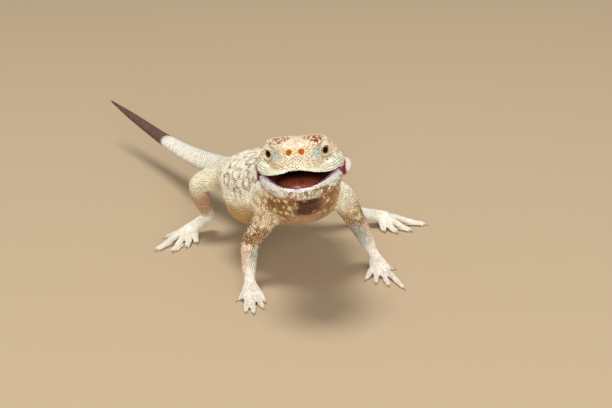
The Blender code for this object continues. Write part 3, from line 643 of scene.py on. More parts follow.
@dataclass
class Anatomy:
    """All the flesh and the runs of scale rows, from the named sizes."""

    blueprint: Blueprint = field(default_factory=Blueprint)
    sheets: list[Sheet] = field(default_factory=list)
    claws: list[tuple[Array, Array]] = field(default_factory=list)  # end of the toe and its direction
    fringes: list[tuple[Array, Array]] = field(default_factory=list)  # root of each and its lean

    def build(self) -> None:
        """Lays out every form."""
        trunk = Sheet(Region.TRUNK, SPINE_COURSE, 0.0, SPINE_COURSE.length, LEFTWARD, None)
        self.blueprint.add(tube_flesh(trunk, 0.8, 96))
        self.sheets.append(trunk)
        self.head()
        for (leg, side), rows in LEGS.items():
            self.limb(leg, side, Course(rows))
        self.blueprint.finish()

    def head(self) -> None:
        """Skull, throat, jaw, lips, lids and folds."""
        add = self.blueprint.add
        add(head_flesh(Region.SKULL, SKULL_COURSE, skull_outline, -7.6, 18.0, 70))
        add(head_flesh(Region.THROAT, Course(THROAT, places=1), throat_outline, -7.6, 0.0, 18))
        add(head_flesh(Region.JAW, JAW_COURSE, jaw_outline, -0.6, 16.7, 52))
        add(self.lip())
        for hand in Side:
            add(self.lid_ball(hand))
            add(self.fold(hand))

    def lip(self) -> Flesh:
        """The rolled edge of the upper lip, from one corner of the mouth round to the other."""
        f = np.linspace(0.4, 17.7, 40)
        row = SKULL_COURSE.at(f - SKULL[0][0])
        inward, raised = 0.12, 0.28
        left = head_point(f, row[:, 2] - inward, row[:, 3] + raised)
        right = head_point(f, inward - row[:, 2], row[:, 3] + raised)[::-1]
        return self.round_loft(Region.LIP, np.concatenate((left, right)), LIP_ROLL, 12)

    @staticmethod
    def round_loft(region: Region, line: Array, radius: float, around: int) -> Flesh:
        """A round length through points, whose sections stay upright.

        Args:
            region: what it is.
            line: the points.
            radius: half its thickness.
            around: points in a ring.

        Returns:
            The loft.
        """
        ahead = unit(np.gradient(line, axis=0))
        side = unit(np.cross(UP, ahead))
        over = np.cross(ahead, side)
        turns = round_turns(around)
        spread = side[:, None] * np.cos(turns)[None, :, None] + over[:, None] * np.sin(turns)[None, :, None]
        return Flesh(region, line[:, None] + spread * radius, run_marks(line), turns)

    @staticmethod
    def lid_ball(hand: int) -> Flesh:
        """The round swelling of the lids.

        Args:
            hand: its side.

        Returns:
            The loft.
        """
        centre, level, over, look = eye_frame(hand)
        tilts, turns = np.radians(np.linspace(6.0, 174.0, 20)), round_turns(36)
        ring = level * np.cos(turns)[:, None] + over * np.sin(turns)[:, None]
        rings = [centre + (look * math.cos(t) + ring * math.sin(t)) * LID_RADIUS for t in tilts]
        return Flesh(Region.LID, np.array(rings), tilts, turns, hand)

    @staticmethod
    def fold(hand: int) -> Flesh:
        """The skin fold at one corner of the mouth.

        Args:
            hand: its side.

        Returns:
            The loft.
        """
        course = fold_course(hand)
        across = head_direction(-0.35, hand, 0.0)
        return tube_flesh(Sheet(Region.FOLD, course, 0.0, course.length, across, 0.9, hand), 0.35, 20)

    def limb(self, leg: Leg, hand: Side, course: Course) -> None:
        """Adds one leg with its foot, toes, claws and the fringes of its toes.

        Args:
            leg: which pair it is of.
            hand: its side.
            course: its line and sizes.
        """
        region, foot = (Region.ARM, Region.HAND) if leg is Leg.FORE else (Region.LEG, Region.FOOT)
        end = WRIST_SHARE[leg] * course.length
        sheet = Sheet(region, course, 0.0, end + 1.2, REARWARD, LIMB_SQUARENESS, hand)
        self.blueprint.add(tube_flesh(sheet, 0.6, 36))
        self.sheets.append(sheet)
        near, ahead, sizes = course.at(end)[0][:3], course.heading(end)[0], course.at(end)[0][3:6]
        palm, tips = FEET[leg, hand]
        palm, build = np.array(palm), FOOT_BUILD[leg]
        level = unit(np.array((palm[0] - near[0], palm[1] - near[1], 0.0)))
        aside = np.cross(UP, level) * hand
        middle = (near + ahead * 2.2) * 0.55 + palm * 0.45
        width = sizes[0] * 0.4 + build[0] * 0.6
        sole = Course((
            (*(near - ahead * 0.6), *sizes), (*(near + ahead * 1.8), *sizes),
            (*middle, width, build[1], build[1]), (*palm, build[0], build[1], build[1]),
            (*(palm + level * 1.6), build[0] * 0.78, build[1] * 0.66, build[1] * 0.8),
        ))
        flat = Sheet(foot, sole, 0.0, sole.length, np.cross(UP, level), LIMB_SQUARENESS, hand)
        self.blueprint.add(tube_flesh(flat, 0.5, 32))
        self.sheets.append(flat)
        for number, tip in enumerate(tips):
            self.toe(leg, hand, number, toe_line(palm, aside, level, number, tip, build))

    def toe(self, leg: Leg, hand: Side, number: int, line: tuple) -> None:
        """Adds one toe, its claw and, on the long hind toes, the roots of its fringes.

        Args:
            leg: which pair it is of.
            hand: its side.
            number: which toe, from 0.
            line: the rows of its course and the direction it points in.
        """
        rows, ahead = line
        course = Course(rows)
        region = Region.FINGER if leg is Leg.FORE else Region.TOE
        aside = np.cross(UP, ahead)
        sheet = Sheet(region, course, 0.0, course.length, aside, 1.0, hand)
        self.blueprint.add(tube_flesh(sheet, 0.35, 18))
        self.sheets.append(sheet)
        self.claws.append((course.at(course.length)[0], ahead))
        if leg is Leg.HIND and number in FRINGED_TOES:
            for share in np.linspace(0.22, 0.96, 15):
                row = course.at(share * course.length)[0]
                for way in (1, -1):
                    root = np.array((row[0], row[1], 0.6)) + aside * way * row[3] * 0.78
                    self.fringes.append((root, unit(aside * way + ahead * 0.55)))


class Weave:
    """The skin as arrays: its points, its faces and what joins them."""

    def __init__(self, points: Array, faces: Array) -> None:
        """Keeps the arrays and finds the edges.

        Args:
            points: corners in millimetres.
            faces: four corner numbers each.
        """
        self.points, self.faces = points, faces
        pairs = np.concatenate([faces[:, (a, (a + 1) % 4)] for a in range(4)])
        self.edges = np.unique(np.sort(pairs, axis=1), axis=0)
        self.near = np.bincount(self.edges.ravel(), minlength=len(points))

    def smoothed(self, values: Array, weight: Array | float, rounds: int) -> Array:
        """Values moved towards the mean of their neighbours.

        Args:
            values: one row for each point.
            weight: how far, from 0 to 1, for all or for each.
            rounds: how often.

        Returns:
            The new values.
        """
        a, b = self.edges.T
        weight = np.asarray(weight)[..., None] if np.ndim(weight) else weight
        for _ in range(rounds):
            total = np.zeros_like(values)
            for column in range(values.shape[1]):
                total[:, column] = np.bincount(a, values[b, column], len(values))
                total[:, column] += np.bincount(b, values[a, column], len(values))
            values = values + (total / self.near[:, None] - values) * weight
        return values

    def normals(self) -> Array:
        """The outward direction at each point."""
        corners = self.points[self.faces]
        flat = np.cross(corners[:, 2] - corners[:, 0], corners[:, 3] - corners[:, 1])
        total = np.zeros_like(self.points)
        for k in range(4):
            for column in range(3):
                total[:, column] += np.bincount(self.faces[:, k], flat[:, column], len(self.points))
        return unit(total)


def linear(code: str) -> Array:
    """An sRGB hex colour as linear numbers."""
    share = np.array([int(code[k:k + 2], 16) / 255 for k in (1, 3, 5)])
    return np.where(share <= 0.04045, share / 12.92, ((share + 0.055) / 1.055) ** 2.4)


def blended(base: Array, code: str, share: Array) -> Array:
    """Colours moved towards an sRGB hex colour by a share each."""
    share = np.clip(share, 0.0, 1.0)[:, None]
    return base + (linear(code) - base) * share


@dataclass(frozen=True)
class Hide:
    """Colours of a desert lizard's scaly skin: dry keratin over pigment, matt and sandy to the eye, with
    painted shade between scales, under the lores and in the mouth, and a painted highlight on the lip's edge.
    """

    cream: str = "#E4D2A8"
    crown: str = "#D9CAB0"
    forehead: str = "#E3C08A"
    crown_warm: str = "#D9B382"
    lore: str = "#BEC3B7"
    snout: str = "#E2D8C3"
    labial: str = "#E7E7D2"
    # Pale beads of the lip's edge, with a painted highlight in their colour.
    bead: str = "#F4F1DE"
    chin: str = "#E9E2CE"
    chin_low: str = "#AE845C"
    chin_pale: str = "#ECEBE2"
    chin_streak: str = "#B47C50"
    chin_patch: str = "#97764C"
    lobe: str = "#E8E6DA"
    lip: str = "#F1F0F2"
    lip_inner: str = "#BC97CC"
    lip_notch: str = "#8C5C72"
    throat: str = "#BD9468"
    chest: str = "#BC9776"
    blotch: str = "#5C3D2C"
    back: str = "#F1E6CF"
    flank: str = "#C09C68"
    belly: str = "#CDB592"
    arm: str = "#DCC5A2"
    arm_pale: str = "#E6E0CB"
    elbow: str = "#B8946C"
    forearm: str = "#D3BBA2"
    inner: str = "#B5B8AD"
    ivory: str = "#F0E9DA"
    hand: str = "#E7DFD2"
    thigh: str = "#E6DDC2"
    shin: str = "#C79B7A"
    tail_dark: str = "#6F5148"
    palate: str = "#8E2F28"
    mouth_floor: str = "#8A4433"
    # Painted shade: the lining darkens towards the back of the mouth, to near black where the gullet opens.
    gullet: str = "#2E0908"
    gullet_deep: str = "#0C0304"
    fold: str = "#B1608A"
    fold_dark: str = "#7C1830"
    fold_spot: str = "#B4622E"
    # Painted shade in the crevices: how much darker the skin between scales, and the foot of each scale, is
    # than the scales, in linear red, green and blue.
    between: tuple = (0.54, 0.46, 0.36)
    between_labials: tuple = (0.66, 0.64, 0.44)
    between_chin: tuple = (0.36, 0.30, 0.22)
    between_pale: tuple = (0.80, 0.75, 0.68)


@dataclass
class Ground:
    """Places on the skin, and where on body and head they are."""

    points: Array
    normals: Array
    facts: Array  # region, distance along, turn and side of the flesh there

    def __post_init__(self) -> None:
        """Reads the facts and measures the places on the head."""
        self.region, self.along, self.turn, self.side = self.facts.T
        self.ahead, self.out, self.up = head_measures(self.points)
        self.wide = np.abs(self.out)
        self.drift = lattice_noise(self.points, 6.0, 3)
        self.skull = self.on(Region.SKULL, Region.LIP, Region.LID)
        self.chin = self.on(Region.JAW, Region.THROAT)

    def on(self, *regions: Region) -> Array:
        """Which places are on these forms."""
        return np.isin(self.region, regions)

    def plain(self, code: str) -> Array:
        """One sRGB hex colour at every place."""
        return np.tile(linear(code), (len(self.points), 1))

    def noise(self, cell: float, seed: int) -> Array:
        """Smooth noise at every place, with lumps of this size."""
        return lattice_noise(self.points, cell, seed)


class Markings:
    """Where each colour and pattern lies on the animal, for skin and scales alike.

    Lengths are in millimetres. The methods that lay colours take the ground, the pattern strengths,
    which they change, and the colours so far, and give the new colours.
    """

    def __init__(self, hide: Hide, blueprint: Blueprint) -> None:
        """Sets out the rings and spots in staggered rows.

        Args:
            hide: the colours.
            blueprint: the flesh that the places lie on.
        """
        self.hide, self.blueprint = hide, blueprint
        draw = np.random.default_rng(SEED)
        full = np.array([0.75])
        self.ring_centres, self.spot_centres = [], []
        for number, along in enumerate(np.arange(21.4, 94.0, RING_ROOM)):
            row = SPINE_COURSE.at(along)[0]
            step = 1.12 * RING_ROOM / (row[3] * 0.5 + row[4] * 0.5)
            start = math.radians(169.0) + 0.5 * step * (number % 2)
            for hand in Side:
                turns = np.arange(start, math.radians(92.0), -step)
                for turn in turns if hand is Side.RIGHT else math.pi - turns:
                    stop = np.array([along + draw.uniform(-0.7, 0.7)])
                    angle = np.array([turn + draw.uniform(-0.05, 0.05)])
                    self.ring_centres.append(SPINE_COURSE.skin_points(stop, angle, LEFTWARD, full)[0])
                low = np.array([math.radians(188.0 if hand is Side.RIGHT else -8.0)])
                stop = np.array([along - 0.8])
                self.spot_centres.append(SPINE_COURSE.skin_points(stop, low, LEFTWARD, full)[0])

    def paint(self, points: Array, normals: Array, facts: Array | None = None) -> dict[str, Array]:
        """Colour and pattern strengths.

        Args:
            points: places on the skin, in millimetres.
            normals: outward directions there.
            facts: what the flesh knows there, where it has been looked up.

        Returns:
            Arrays by name: tint, the scales' colour; the colour of the skin between them, darkened by
            painted shade; the strengths of PATTERNS; and bare, which is 1 where no scale grows.
        """
        ground = Ground(points, normals, self.blueprint.facts_near(points) if facts is None else facts)
        layers = {name: np.zeros(len(points)) for name in PATTERNS}
        tint = ground.plain(self.hide.cream)
        for lay in (self.trunk, self.face, self.jaw, self.mouth, self.fold, self.limbs):
            tint = lay(ground, layers, tint)
        layers["net"] *= 1 - layers["gorge"]
        for name in ("fleck", "rust", "wet"):
            layers[name] = np.clip(layers[name], 0, 1)
        layers["bare"] = np.clip(layers["lining"] + layers["lip"] + layers["web"], 0, 1)
        return {**layers, "tint": tint, "gap": self.between(ground, layers, tint)}

    def trunk(self, ground: Ground, layers: dict[str, Array], tint: Array) -> Array:
        """Neck, body and tail: cream back, sandy flanks, brown throat with a dark blotch, dark tail end."""
        hide, along, drift = self.hide, ground.along, ground.drift
        trunk = ground.on(Region.TRUNK)
        high = np.where(trunk, np.sin(ground.turn), 1.0)
        body = blended(tint, hide.back, smooth(8, 16, along))
        body = blended(body, hide.flank, smooth(-0.10, -0.5, high + drift * 0.2) * smooth(26, 36, along))
        body = blended(body, hide.belly, smooth(-0.62, -0.88, high))
        fore = smooth(30, 20, along + drift * 3)
        low = smooth(0.10, -0.35, high + drift * 0.2) * smooth(14, 7, ground.ahead)
        body = blended(body, hide.throat, fore * low)
        body = blended(body, hide.chest, smooth(44, 30, along) * smooth(-0.7, -0.9, high))
        body = blended(body, hide.ivory, smooth(90, 108, along))
        body = blended(body, hide.tail_dark, smooth(147, 151, along + drift * 0.8))
        ragged = ground.noise(2.2, 17)
        under = smooth(0.60, 0.25, np.abs(ground.turn - BLOTCH_TURN) + ragged * 0.16) * trunk
        blotch = under * smooth(19.5, 17.0, along + drift + ragged) * smooth(-0.9, -0.2, ragged)
        self.rings(ground, layers, trunk)
        layers["net"] = 0.55 * trunk * smooth(14, 26, along) * smooth(104, 84, along)
        layers["net"] *= smooth(-0.75, -0.35, high)
        gorge = trunk * fore * smooth(0.25, -0.3, high) * (1 - 0.5 * smooth(2.0, 6.0, ground.points[:, 0]))
        layers["gorge"] = gorge * (1 - blotch) * (1 - under * smooth(17.0, 20.0, along))
        return np.where(trunk[:, None], blended(body, hide.blotch, blotch), tint)

    def rings(self, ground: Ground, layers: dict[str, Array], trunk: Array) -> None:
        """The brown rings and pale spots of back and flanks.

        Args:
            ground: the places.
            layers: the pattern strengths, which it changes.
            trunk: which places are on the trunk.
        """
        points = ground.points
        away, near = np.full(len(points), 99.0), np.full(len(points), 99.0)
        for centre in self.ring_centres:
            away = np.minimum(away, np.linalg.norm(points - centre, axis=1))
        for centre in self.spot_centres:
            near = np.minimum(near, np.linalg.norm(points - centre, axis=1))
        wobble = ground.noise(1.6, 5) * 0.35
        ring = smooth(0.85, 0.25, np.abs(away - 1.95 + wobble)) * trunk
        layers["ring"] = ring * (0.5 + 0.35 * smooth(-0.3, 0.4, ground.noise(5.0, 15)))
        middle = smooth(0.9, 0.3, away + wobble) * 0.5
        layers["spot"] = np.maximum(smooth(1.3, 0.8, near + wobble), middle) * trunk

    def face(self, ground: Ground, layers: dict[str, Array], tint: Array) -> Array:
        """Crown, brows, lores with painted shade under them, snout, and the pale rows of lip shields with a
        painted highlight along the lip's edge.
        """
        hide, skull, ahead, wide, up = self.hide, ground.skull, ground.ahead, ground.wide, ground.up
        face = blended(ground.plain(hide.crown), hide.snout, smooth(12.5, 16.5, ahead) * smooth(4, 2, wide))
        forehead = smooth(8.8, 10.2, up) * smooth(11.3, 10.5, up) * smooth(4.2, 2.0, wide)
        face = blended(face, hide.forehead, forehead * 0.7)
        lore = smooth(2.4, 1.0, np.hypot((ahead - 12.6) / 1.5, (up - 7.6) / 1.1)) * smooth(3.4, 4.6, wide)
        face = blended(face, hide.lore, lore)
        # Painted shade under the lores, laid on in the throat's brown.
        shade = smooth(2.0, 0.8, np.hypot((ahead - 12.0) / 2.6, (up - 5.6) / 0.8)) * smooth(4.0, 5.0, wide)
        face = blended(face, hide.throat, shade * 0.6)
        above = over_lip(ahead, up)
        labial = smooth(LABIAL_RISE, 3.2, above / labial_squeeze(ahead))
        labial *= smooth(-1.0, 1.5, ahead) * smooth(1.2, 2.0, wide) * (ground.normals @ HEAD_UP < 0.8)
        face = blended(face, hide.labial, labial)
        # The pale beads along the lip's edge, lightened further as a painted highlight.
        bead = smooth(0.62, 0.45, np.abs(above - 0.1)) * smooth(3.4, 2.4, ground.turn)
        face = blended(face, hide.bead, bead * 0.8)
        brow = np.hypot((ahead - 8.2) / 4.0, (wide - 4.8) / 2.9)
        patch = smooth(1.15, 0.8, brow) * smooth(9.3, 10.0, up) * skull
        layers["rust"] += patch
        layers["fleck"] += patch + skull * 0.35 * smooth(8.5, 6.0, np.hypot(ahead - 1.0, wide - 9.0))
        layers["labial"] = labial * skull
        tint = np.where(skull[:, None], face, tint)
        warm = skull * smooth(0.1, 0.6, ground.drift) * smooth(3.4, 5.0, up) * 0.5
        return blended(tint, hide.crown_warm, warm)

    def jaw(self, ground: Ground, layers: dict[str, Array], tint: Array) -> Array:
        """Chin and throat under the mouth, mottled brown, and the pale band of the lower lip."""
        hide, ahead, out, up, turn = self.hide, ground.ahead, ground.out, ground.up, ground.turn
        drift, chin = ground.drift, ground.chin
        below = blended(ground.plain(hide.chin), hide.chin_low, smooth(-2.9, -4.3, up + drift * 0.9) * 0.75)
        streak = smooth(3.0, 1.2, np.abs(out + 1.2 + drift)) * smooth(-2.2, -3.4, up)
        streak *= smooth(10.0, 14.0, ahead)
        below = blended(below, hide.chin_pale, smooth(-2.0, -6.0, out) * smooth(-4.6, -3.6, up) * 0.7)
        below = blended(below, hide.chin_streak, streak * smooth(-0.5, 0.1, ground.noise(1.3, 21)))
        below = blended(below, hide.throat, smooth(-5.0, -7.4, up + drift * 0.8))
        patches = smooth(0.12, 0.55, ground.noise(1.5, 23) + 0.5 * ground.noise(0.8, 24))
        patches *= smooth(-1.4, -2.2, up) * (0.95 - 0.5 * smooth(0.0, -5.0, out))
        below = blended(below, hide.chin_patch, patches)
        tint = np.where(chin[:, None], below, tint)
        tip = smooth(*CHIN_TIP, ahead)
        lip = smooth(2.55, 2.8, turn) * smooth(4.3, 3.9, turn) * (1 - tip) + smooth(-2.0, -1.6, up) * tip
        lip *= ground.on(Region.JAW)
        layers["lip"] = lip
        layers["fleck"] += chin * (0.55 - 0.3 * smooth(-2.0, -6.0, out))
        layers["fleck"] *= 1 - lip
        tint = blended(tint, hide.lip, lip)
        tint = blended(tint, hide.lip_inner, lip * smooth(3.9, 2.7, turn) * 0.85)
        notch = smooth(0.55, 0.25, np.abs(out + 0.9)) * (ahead > 15.0)
        return blended(tint, hide.lip_notch, lip * notch * 0.7)

    def mouth(self, ground: Ground, layers: dict[str, Array], tint: Array) -> Array:
        """The lining of the mouth: red palate, paler floor, and painted shade that darkens it towards the
        gullet.
        """
        hide, ahead, turn = self.hide, ground.ahead, ground.turn
        roof = ground.on(Region.SKULL) * smooth(2.9, 2.6, turn) * (ahead > -1.0) * smooth(17.2, 16.9, ahead)
        floor = ground.on(Region.JAW) * smooth(2.8, 2.55, turn) * (1 - smooth(*CHIN_TIP, ahead))
        gullet = (gullet_share(ground.out, ground.up) < 1.0) * (ahead < 0.9) * (ahead > -0.9 - GULLET_DEPTH)
        lining = np.maximum(np.maximum(roof, floor), gullet)
        inside = blended(ground.plain(hide.palate), hide.mouth_floor, floor)
        # Painted shade of the deep mouth: darker towards the back and the middle, near black at the gullet.
        inside = blended(inside, hide.gullet, smooth(8.0, 1.0, ahead) * smooth(9.5, 4.5, ground.wide))
        inside = blended(inside, hide.gullet_deep, smooth(1.2, 0.2, ahead))
        layers["lining"] = lining
        layers["wet"] += lining * smooth(0.5, 4.0, ahead) * 0.8 + layers["lip"] * 0.5
        for name in ("fleck", "rust"):
            layers[name] *= 1 - lining
        return tint + (inside - tint) * lining[:, None]

    def fold(self, ground: Ground, layers: dict[str, Array], tint: Array) -> Array:
        """The moist magenta web that the open mouth shows at its corners, and the pale fold behind it."""
        hide, ahead, up, wide, drift = self.hide, ground.ahead, ground.up, ground.wide, ground.drift
        fold = ground.on(Region.FOLD)
        reach = np.maximum(ahead, 0.0)
        web = smooth(-2.8, -2.0, ahead) * smooth(6.5, 2.6, ahead + drift) * smooth(-4.4, -3.2, up - reach)
        web *= smooth(1.6, 0.9, up) * smooth(10.2 - 0.5 * reach, 11.0 - 0.5 * reach, wide)
        web *= smooth(13.5, 12.9, wide + drift * 0.2) * (fold | ground.chin)
        layers["web"] = web
        layers["wet"] += web * 0.5
        tint = np.where(fold[:, None], linear(hide.lobe), tint)
        tint = blended(tint, hide.fold, web)
        dark = np.maximum(smooth(12.0, 12.8, wide), smooth(-1.2, -0.2, up) * 0.8)
        tint = blended(tint, hide.fold_dark, web * dark)
        return blended(tint, hide.fold_spot, web * smooth(-0.4, 0.5, up) * smooth(0.2, -0.8, ahead))

    def limbs(self, ground: Ground, layers: dict[str, Array], tint: Array) -> Array:
        """Legs and feet: mottled upper arms, plain forearms, russet shins, pale hands and feet."""
        hide, along, left = self.hide, ground.along, ground.side > 0
        upper = blended(ground.plain(hide.arm), hide.elbow, smooth(10, 15, along) * smooth(22, 17, along))
        upper = blended(upper, hide.forearm, smooth(17, 22, along))
        facing = ground.normals[:, 0] * np.where(ground.points[:, 0] > 0, -1, 1)
        upper = blended(upper, hide.inner, smooth(-0.35, 0.15, facing) * smooth(15, 20, along) * 0.9)
        upper = blended(upper, hide.hand, smooth(24, 31, along))
        upper = blended(upper, hide.arm_pale, left * smooth(11, 6, along))
        shin = smooth(17, 23, along) * smooth(36, 30, along)
        lower = blended(ground.plain(hide.thigh), hide.shin, shin * 0.85)
        lower = blended(lower, hide.ivory, smooth(28, 37, along))
        arm = ground.on(Region.ARM) * smooth(24.5, 18.5, along)
        mottled = (0.5 + 0.25 * smooth(9, 16, along)) * (1 - left * (0.3 + 0.4 * smooth(11, 6, along)))
        layers["fleck"] += arm * mottled
        layers["spot"] = np.maximum(layers["spot"], arm * smooth(0.30, 0.5, ground.noise(1.9, 6)) * 0.6)
        for regions, colours in (((Region.ARM,), upper), ((Region.LEG,), lower),
                                 ((Region.FOOT, Region.TOE), linear(hide.ivory)),
                                 ((Region.HAND, Region.FINGER), linear(hide.hand))):
            tint = np.where(ground.on(*regions)[:, None], colours, tint)
        return tint

    def between(self, ground: Ground, layers: dict[str, Array], tint: Array) -> Array:
        """The colour of the skin between the scales: theirs, darkened as painted shade in the crevices, but
        not where none grow.
        """
        hide = self.hide
        pale = (tint.mean(axis=1) > 0.5) & ~ground.skull & ~ground.chin | ground.on(Region.LID)
        gap = tint * np.where(layers["labial"][:, None] > 0.4, hide.between_labials, hide.between)
        gap = np.where(ground.chin[:, None], tint * hide.between_chin, gap)
        gap = np.where(pale[:, None], tint * hide.between_pale, gap)
        bare = np.clip(layers["lining"] + layers["lip"], 0, 1)[:, None]
        return gap + (tint - gap) * bare


def fill(tree: bpy.types.NodeTree, node: bpy.types.Node, inputs: dict | None, links: dict | None) -> None:
    """Sets some of a node's inputs to values, and links others.

    Args:
        tree: where the node is.
        node: the node.
        inputs: values by input name or number.
        links: output sockets by input name or number.
    """
    for name, value in (inputs or {}).items():
        node.inputs[name].default_value = value
    for name, socket in (links or {}).items():
        tree.links.new(socket, node.inputs[name])


def add_node(tree: bpy.types.NodeTree, kind: str, settings: dict | None = None, inputs: dict | None = None,
             links: dict | None = None, stops: tuple = ()) -> bpy.types.Node:
    """Adds a shader node.

    Args:
        tree: where it goes.
        kind: its Blender type name.
        settings: properties to set.
        inputs: values by input name or number.
        links: output sockets by input name or number.
        stops: positions and sRGB hex colours, for a node with a band of colours.

    Returns:
        The new node.
    """
    node = tree.nodes.new(kind)
    for name, value in (settings or {}).items():
        setattr(node, name, value)
    fill(tree, node, inputs, links)
    for number, (position, code) in enumerate(stops):
        elements = node.color_ramp.elements
        stop = elements[number] if number < 2 else elements.new(position)
        stop.position, stop.color = position, rgba(code)
    return node


def rgba(code: str) -> tuple[float, float, float, float]:
    """An sRGB hex colour as linear red, green, blue and alpha."""
    return (*(float(value) for value in linear(code)), 1.0)


def blank_material(name: str) -> tuple[Material, bpy.types.NodeTree, bpy.types.Node]:
    """A new material with one shader, linked to its output.

    Args:
        name: what the real material is.

    Returns:
        The material, its tree and its shader.
    """
    material = bpy.data.materials.new(name)
    material.use_nodes = True
    tree = material.node_tree
    return material, tree, tree.nodes["Principled BSDF"]


@dataclass(frozen=True)
class ScalySkin:
    """Keratin scales over pigment: dry and matt, with a faint sheen on their crests, and wet in the mouth."""

    net_mm: float = 3.4  # meshes of the brown net on the back
    bend_mm: float = 3.2  # how far its lines wander
    drift_mm: float = 4.545455  # from one bend to the next
    gorge_mm: float = 2.3  # from one pale spot of the throat to the next
    shade_mm: float = 2.222222  # paler and darker patches
    lump_mm: float = 1.7  # flecks
    grain_mm: float = 0.25  # fine wrinkles of a scale, coarser than the real ones so that they show
    wrinkle_mm: float = 0.08  # their depth
    matt: float = 0.62
    moist: float = 0.36
    ring_colour: str = "#86634F"
    spot_colour: str = "#F1EBC2"
    fleck_colour: str = "#54321F"
    rust_colour: str = "#C06A22"
    gorge_colour: str = "#88633F"
    gorge_spot: str = "#EACF96"
    nostril_rim: str = "#DDB683"
    # Painted shade in the nostril's opening.
    nostril_depth: str = "#5C3206"
    nostril_colour: str = "#944F02"

    def build(self) -> Material:
        """The material of skin, scales and the lining of the mouth."""
        material, tree, shader = blank_material("agama_skin_keratin_scales")
        node = partial(add_node, tree)
        stored = {name: node("ShaderNodeAttribute", {"attribute_name": name}).outputs
                  for name in (*PATTERNS, "tone", "tint", "root")}
        tone = stored["tone"]["Fac"]
        place = node("ShaderNodeVectorMath", {"operation": "SCALE"}, {"Scale": 1 / MM},
                     {0: stored["root"]["Vector"]}).outputs[0]
        drift = node("ShaderNodeTexNoise", None, {"Scale": 1 / self.drift_mm, "Detail": 2.0},
                     {"Vector": place})
        bent = node("ShaderNodeVectorMath", {"operation": "MULTIPLY_ADD"}, {1: (self.bend_mm,) * 3},
                    {0: drift.outputs["Color"], 2: place}).outputs[0]
        net = node("ShaderNodeTexVoronoi", {"feature": "DISTANCE_TO_EDGE"},
                   {"Scale": 1 / self.net_mm, "Randomness": 0.9}, {"Vector": bent}).outputs["Distance"]
        cell = node("ShaderNodeTexVoronoi", None, {"Scale": 1 / self.gorge_mm, "Randomness": 0.8},
                    {"Vector": bent}).outputs["Distance"]
        patchy = node("ShaderNodeTexNoise", None,
                      {"Scale": 1 / self.shade_mm, "Detail": 3.0, "Roughness": 0.6},
                      {"Vector": place}).outputs["Fac"]
        lumps = node("ShaderNodeTexNoise", None, {"Scale": 1 / self.lump_mm, "Detail": 1.0},
                     {"Vector": place})
        jitter = node("ShaderNodeMath", {"operation": "MULTIPLY_ADD"}, {1: 0.28},
                      {0: tone, 2: lumps.outputs["Fac"]}).outputs[0]
        shade = node("ShaderNodeMapRange", None, {1: 0.3, 2: 0.7, 3: 0.86, 4: 1.08}, {0: patchy}).outputs[0]
        colour = node("ShaderNodeVectorMath", {"operation": "SCALE"}, None,
                      {0: stored["tint"]["Color"], "Scale": shade}).outputs[0]
        # Each layer: its colour, the stored strength, and values with where they leave and fill it.
        layers = [
            (self.ring_colour, "net", ((net, 0.10, 0.02), (tone, -1.4, 1.0), (patchy, 0.3, 0.6))),
            (self.ring_colour, "ring", ((tone, -1.8, 0.6),)),
            (self.spot_colour, "spot", ()),
            (self.gorge_spot, "gorge", ((cell, 0.44, 0.26),)),
            (self.gorge_colour, "gorge", ((cell, 0.30, 0.50), (patchy, 0.34, 0.52))),
            (self.rust_colour, "rust", ((jitter, 0.44, 0.52),)),
            (self.fleck_colour, "fleck", ((jitter, 0.57, 0.65),)),
        ]
        # Round each nostril: a pale rim, its own colour, and painted shade at its middle.
        for hand in Side:
            nostril = tuple(nostril_point(hand) - ORIGIN)
            away = node("ShaderNodeVectorMath", {"operation": "DISTANCE"}, {1: nostril},
                        {0: place}).outputs["Value"]
            layers += [(self.nostril_rim, None, ((away, 1.45, 0.95),)),
                       (self.nostril_colour, None, ((away, 1.02, 0.84),)),
                       (self.nostril_depth, None, ((away, 0.5, 0.1),))]
        for code, pattern, limits in layers:
            share = stored[pattern]["Fac"] if pattern else None
            for value, low, high in limits:
                part = node("ShaderNodeMapRange", {"interpolation_type": "SMOOTHSTEP"}, {1: low, 2: high},
                            {0: value}).outputs[0]
                if share is not None:
                    part = node("ShaderNodeMath", {"operation": "MULTIPLY"}, None,
                                {0: share, 1: part}).outputs[0]
                share = part
            colour = node("ShaderNodeMix", {"data_type": "RGBA"}, {7: rgba(code)},
                          {0: share, 6: colour}).outputs[2]
        rough = node("ShaderNodeMapRange", None, {1: 0.0, 2: 1.0, 3: self.matt, 4: self.moist},
                     {0: stored["wet"]["Fac"]}).outputs[0]
        grain = node("ShaderNodeTexNoise", None, {"Scale": 1 / self.grain_mm, "Detail": 2.0},
                     {"Vector": place})
        bump = node("ShaderNodeBump", None, {"Strength": 0.25, "Distance": self.wrinkle_mm * MM},
                    {"Height": grain.outputs["Fac"]}).outputs[0]
        fill(tree, shader, {"IOR": 1.5, "Specular IOR Level": 0.25},
             {"Base Color": colour, "Roughness": rough, "Normal": bump})
        return material


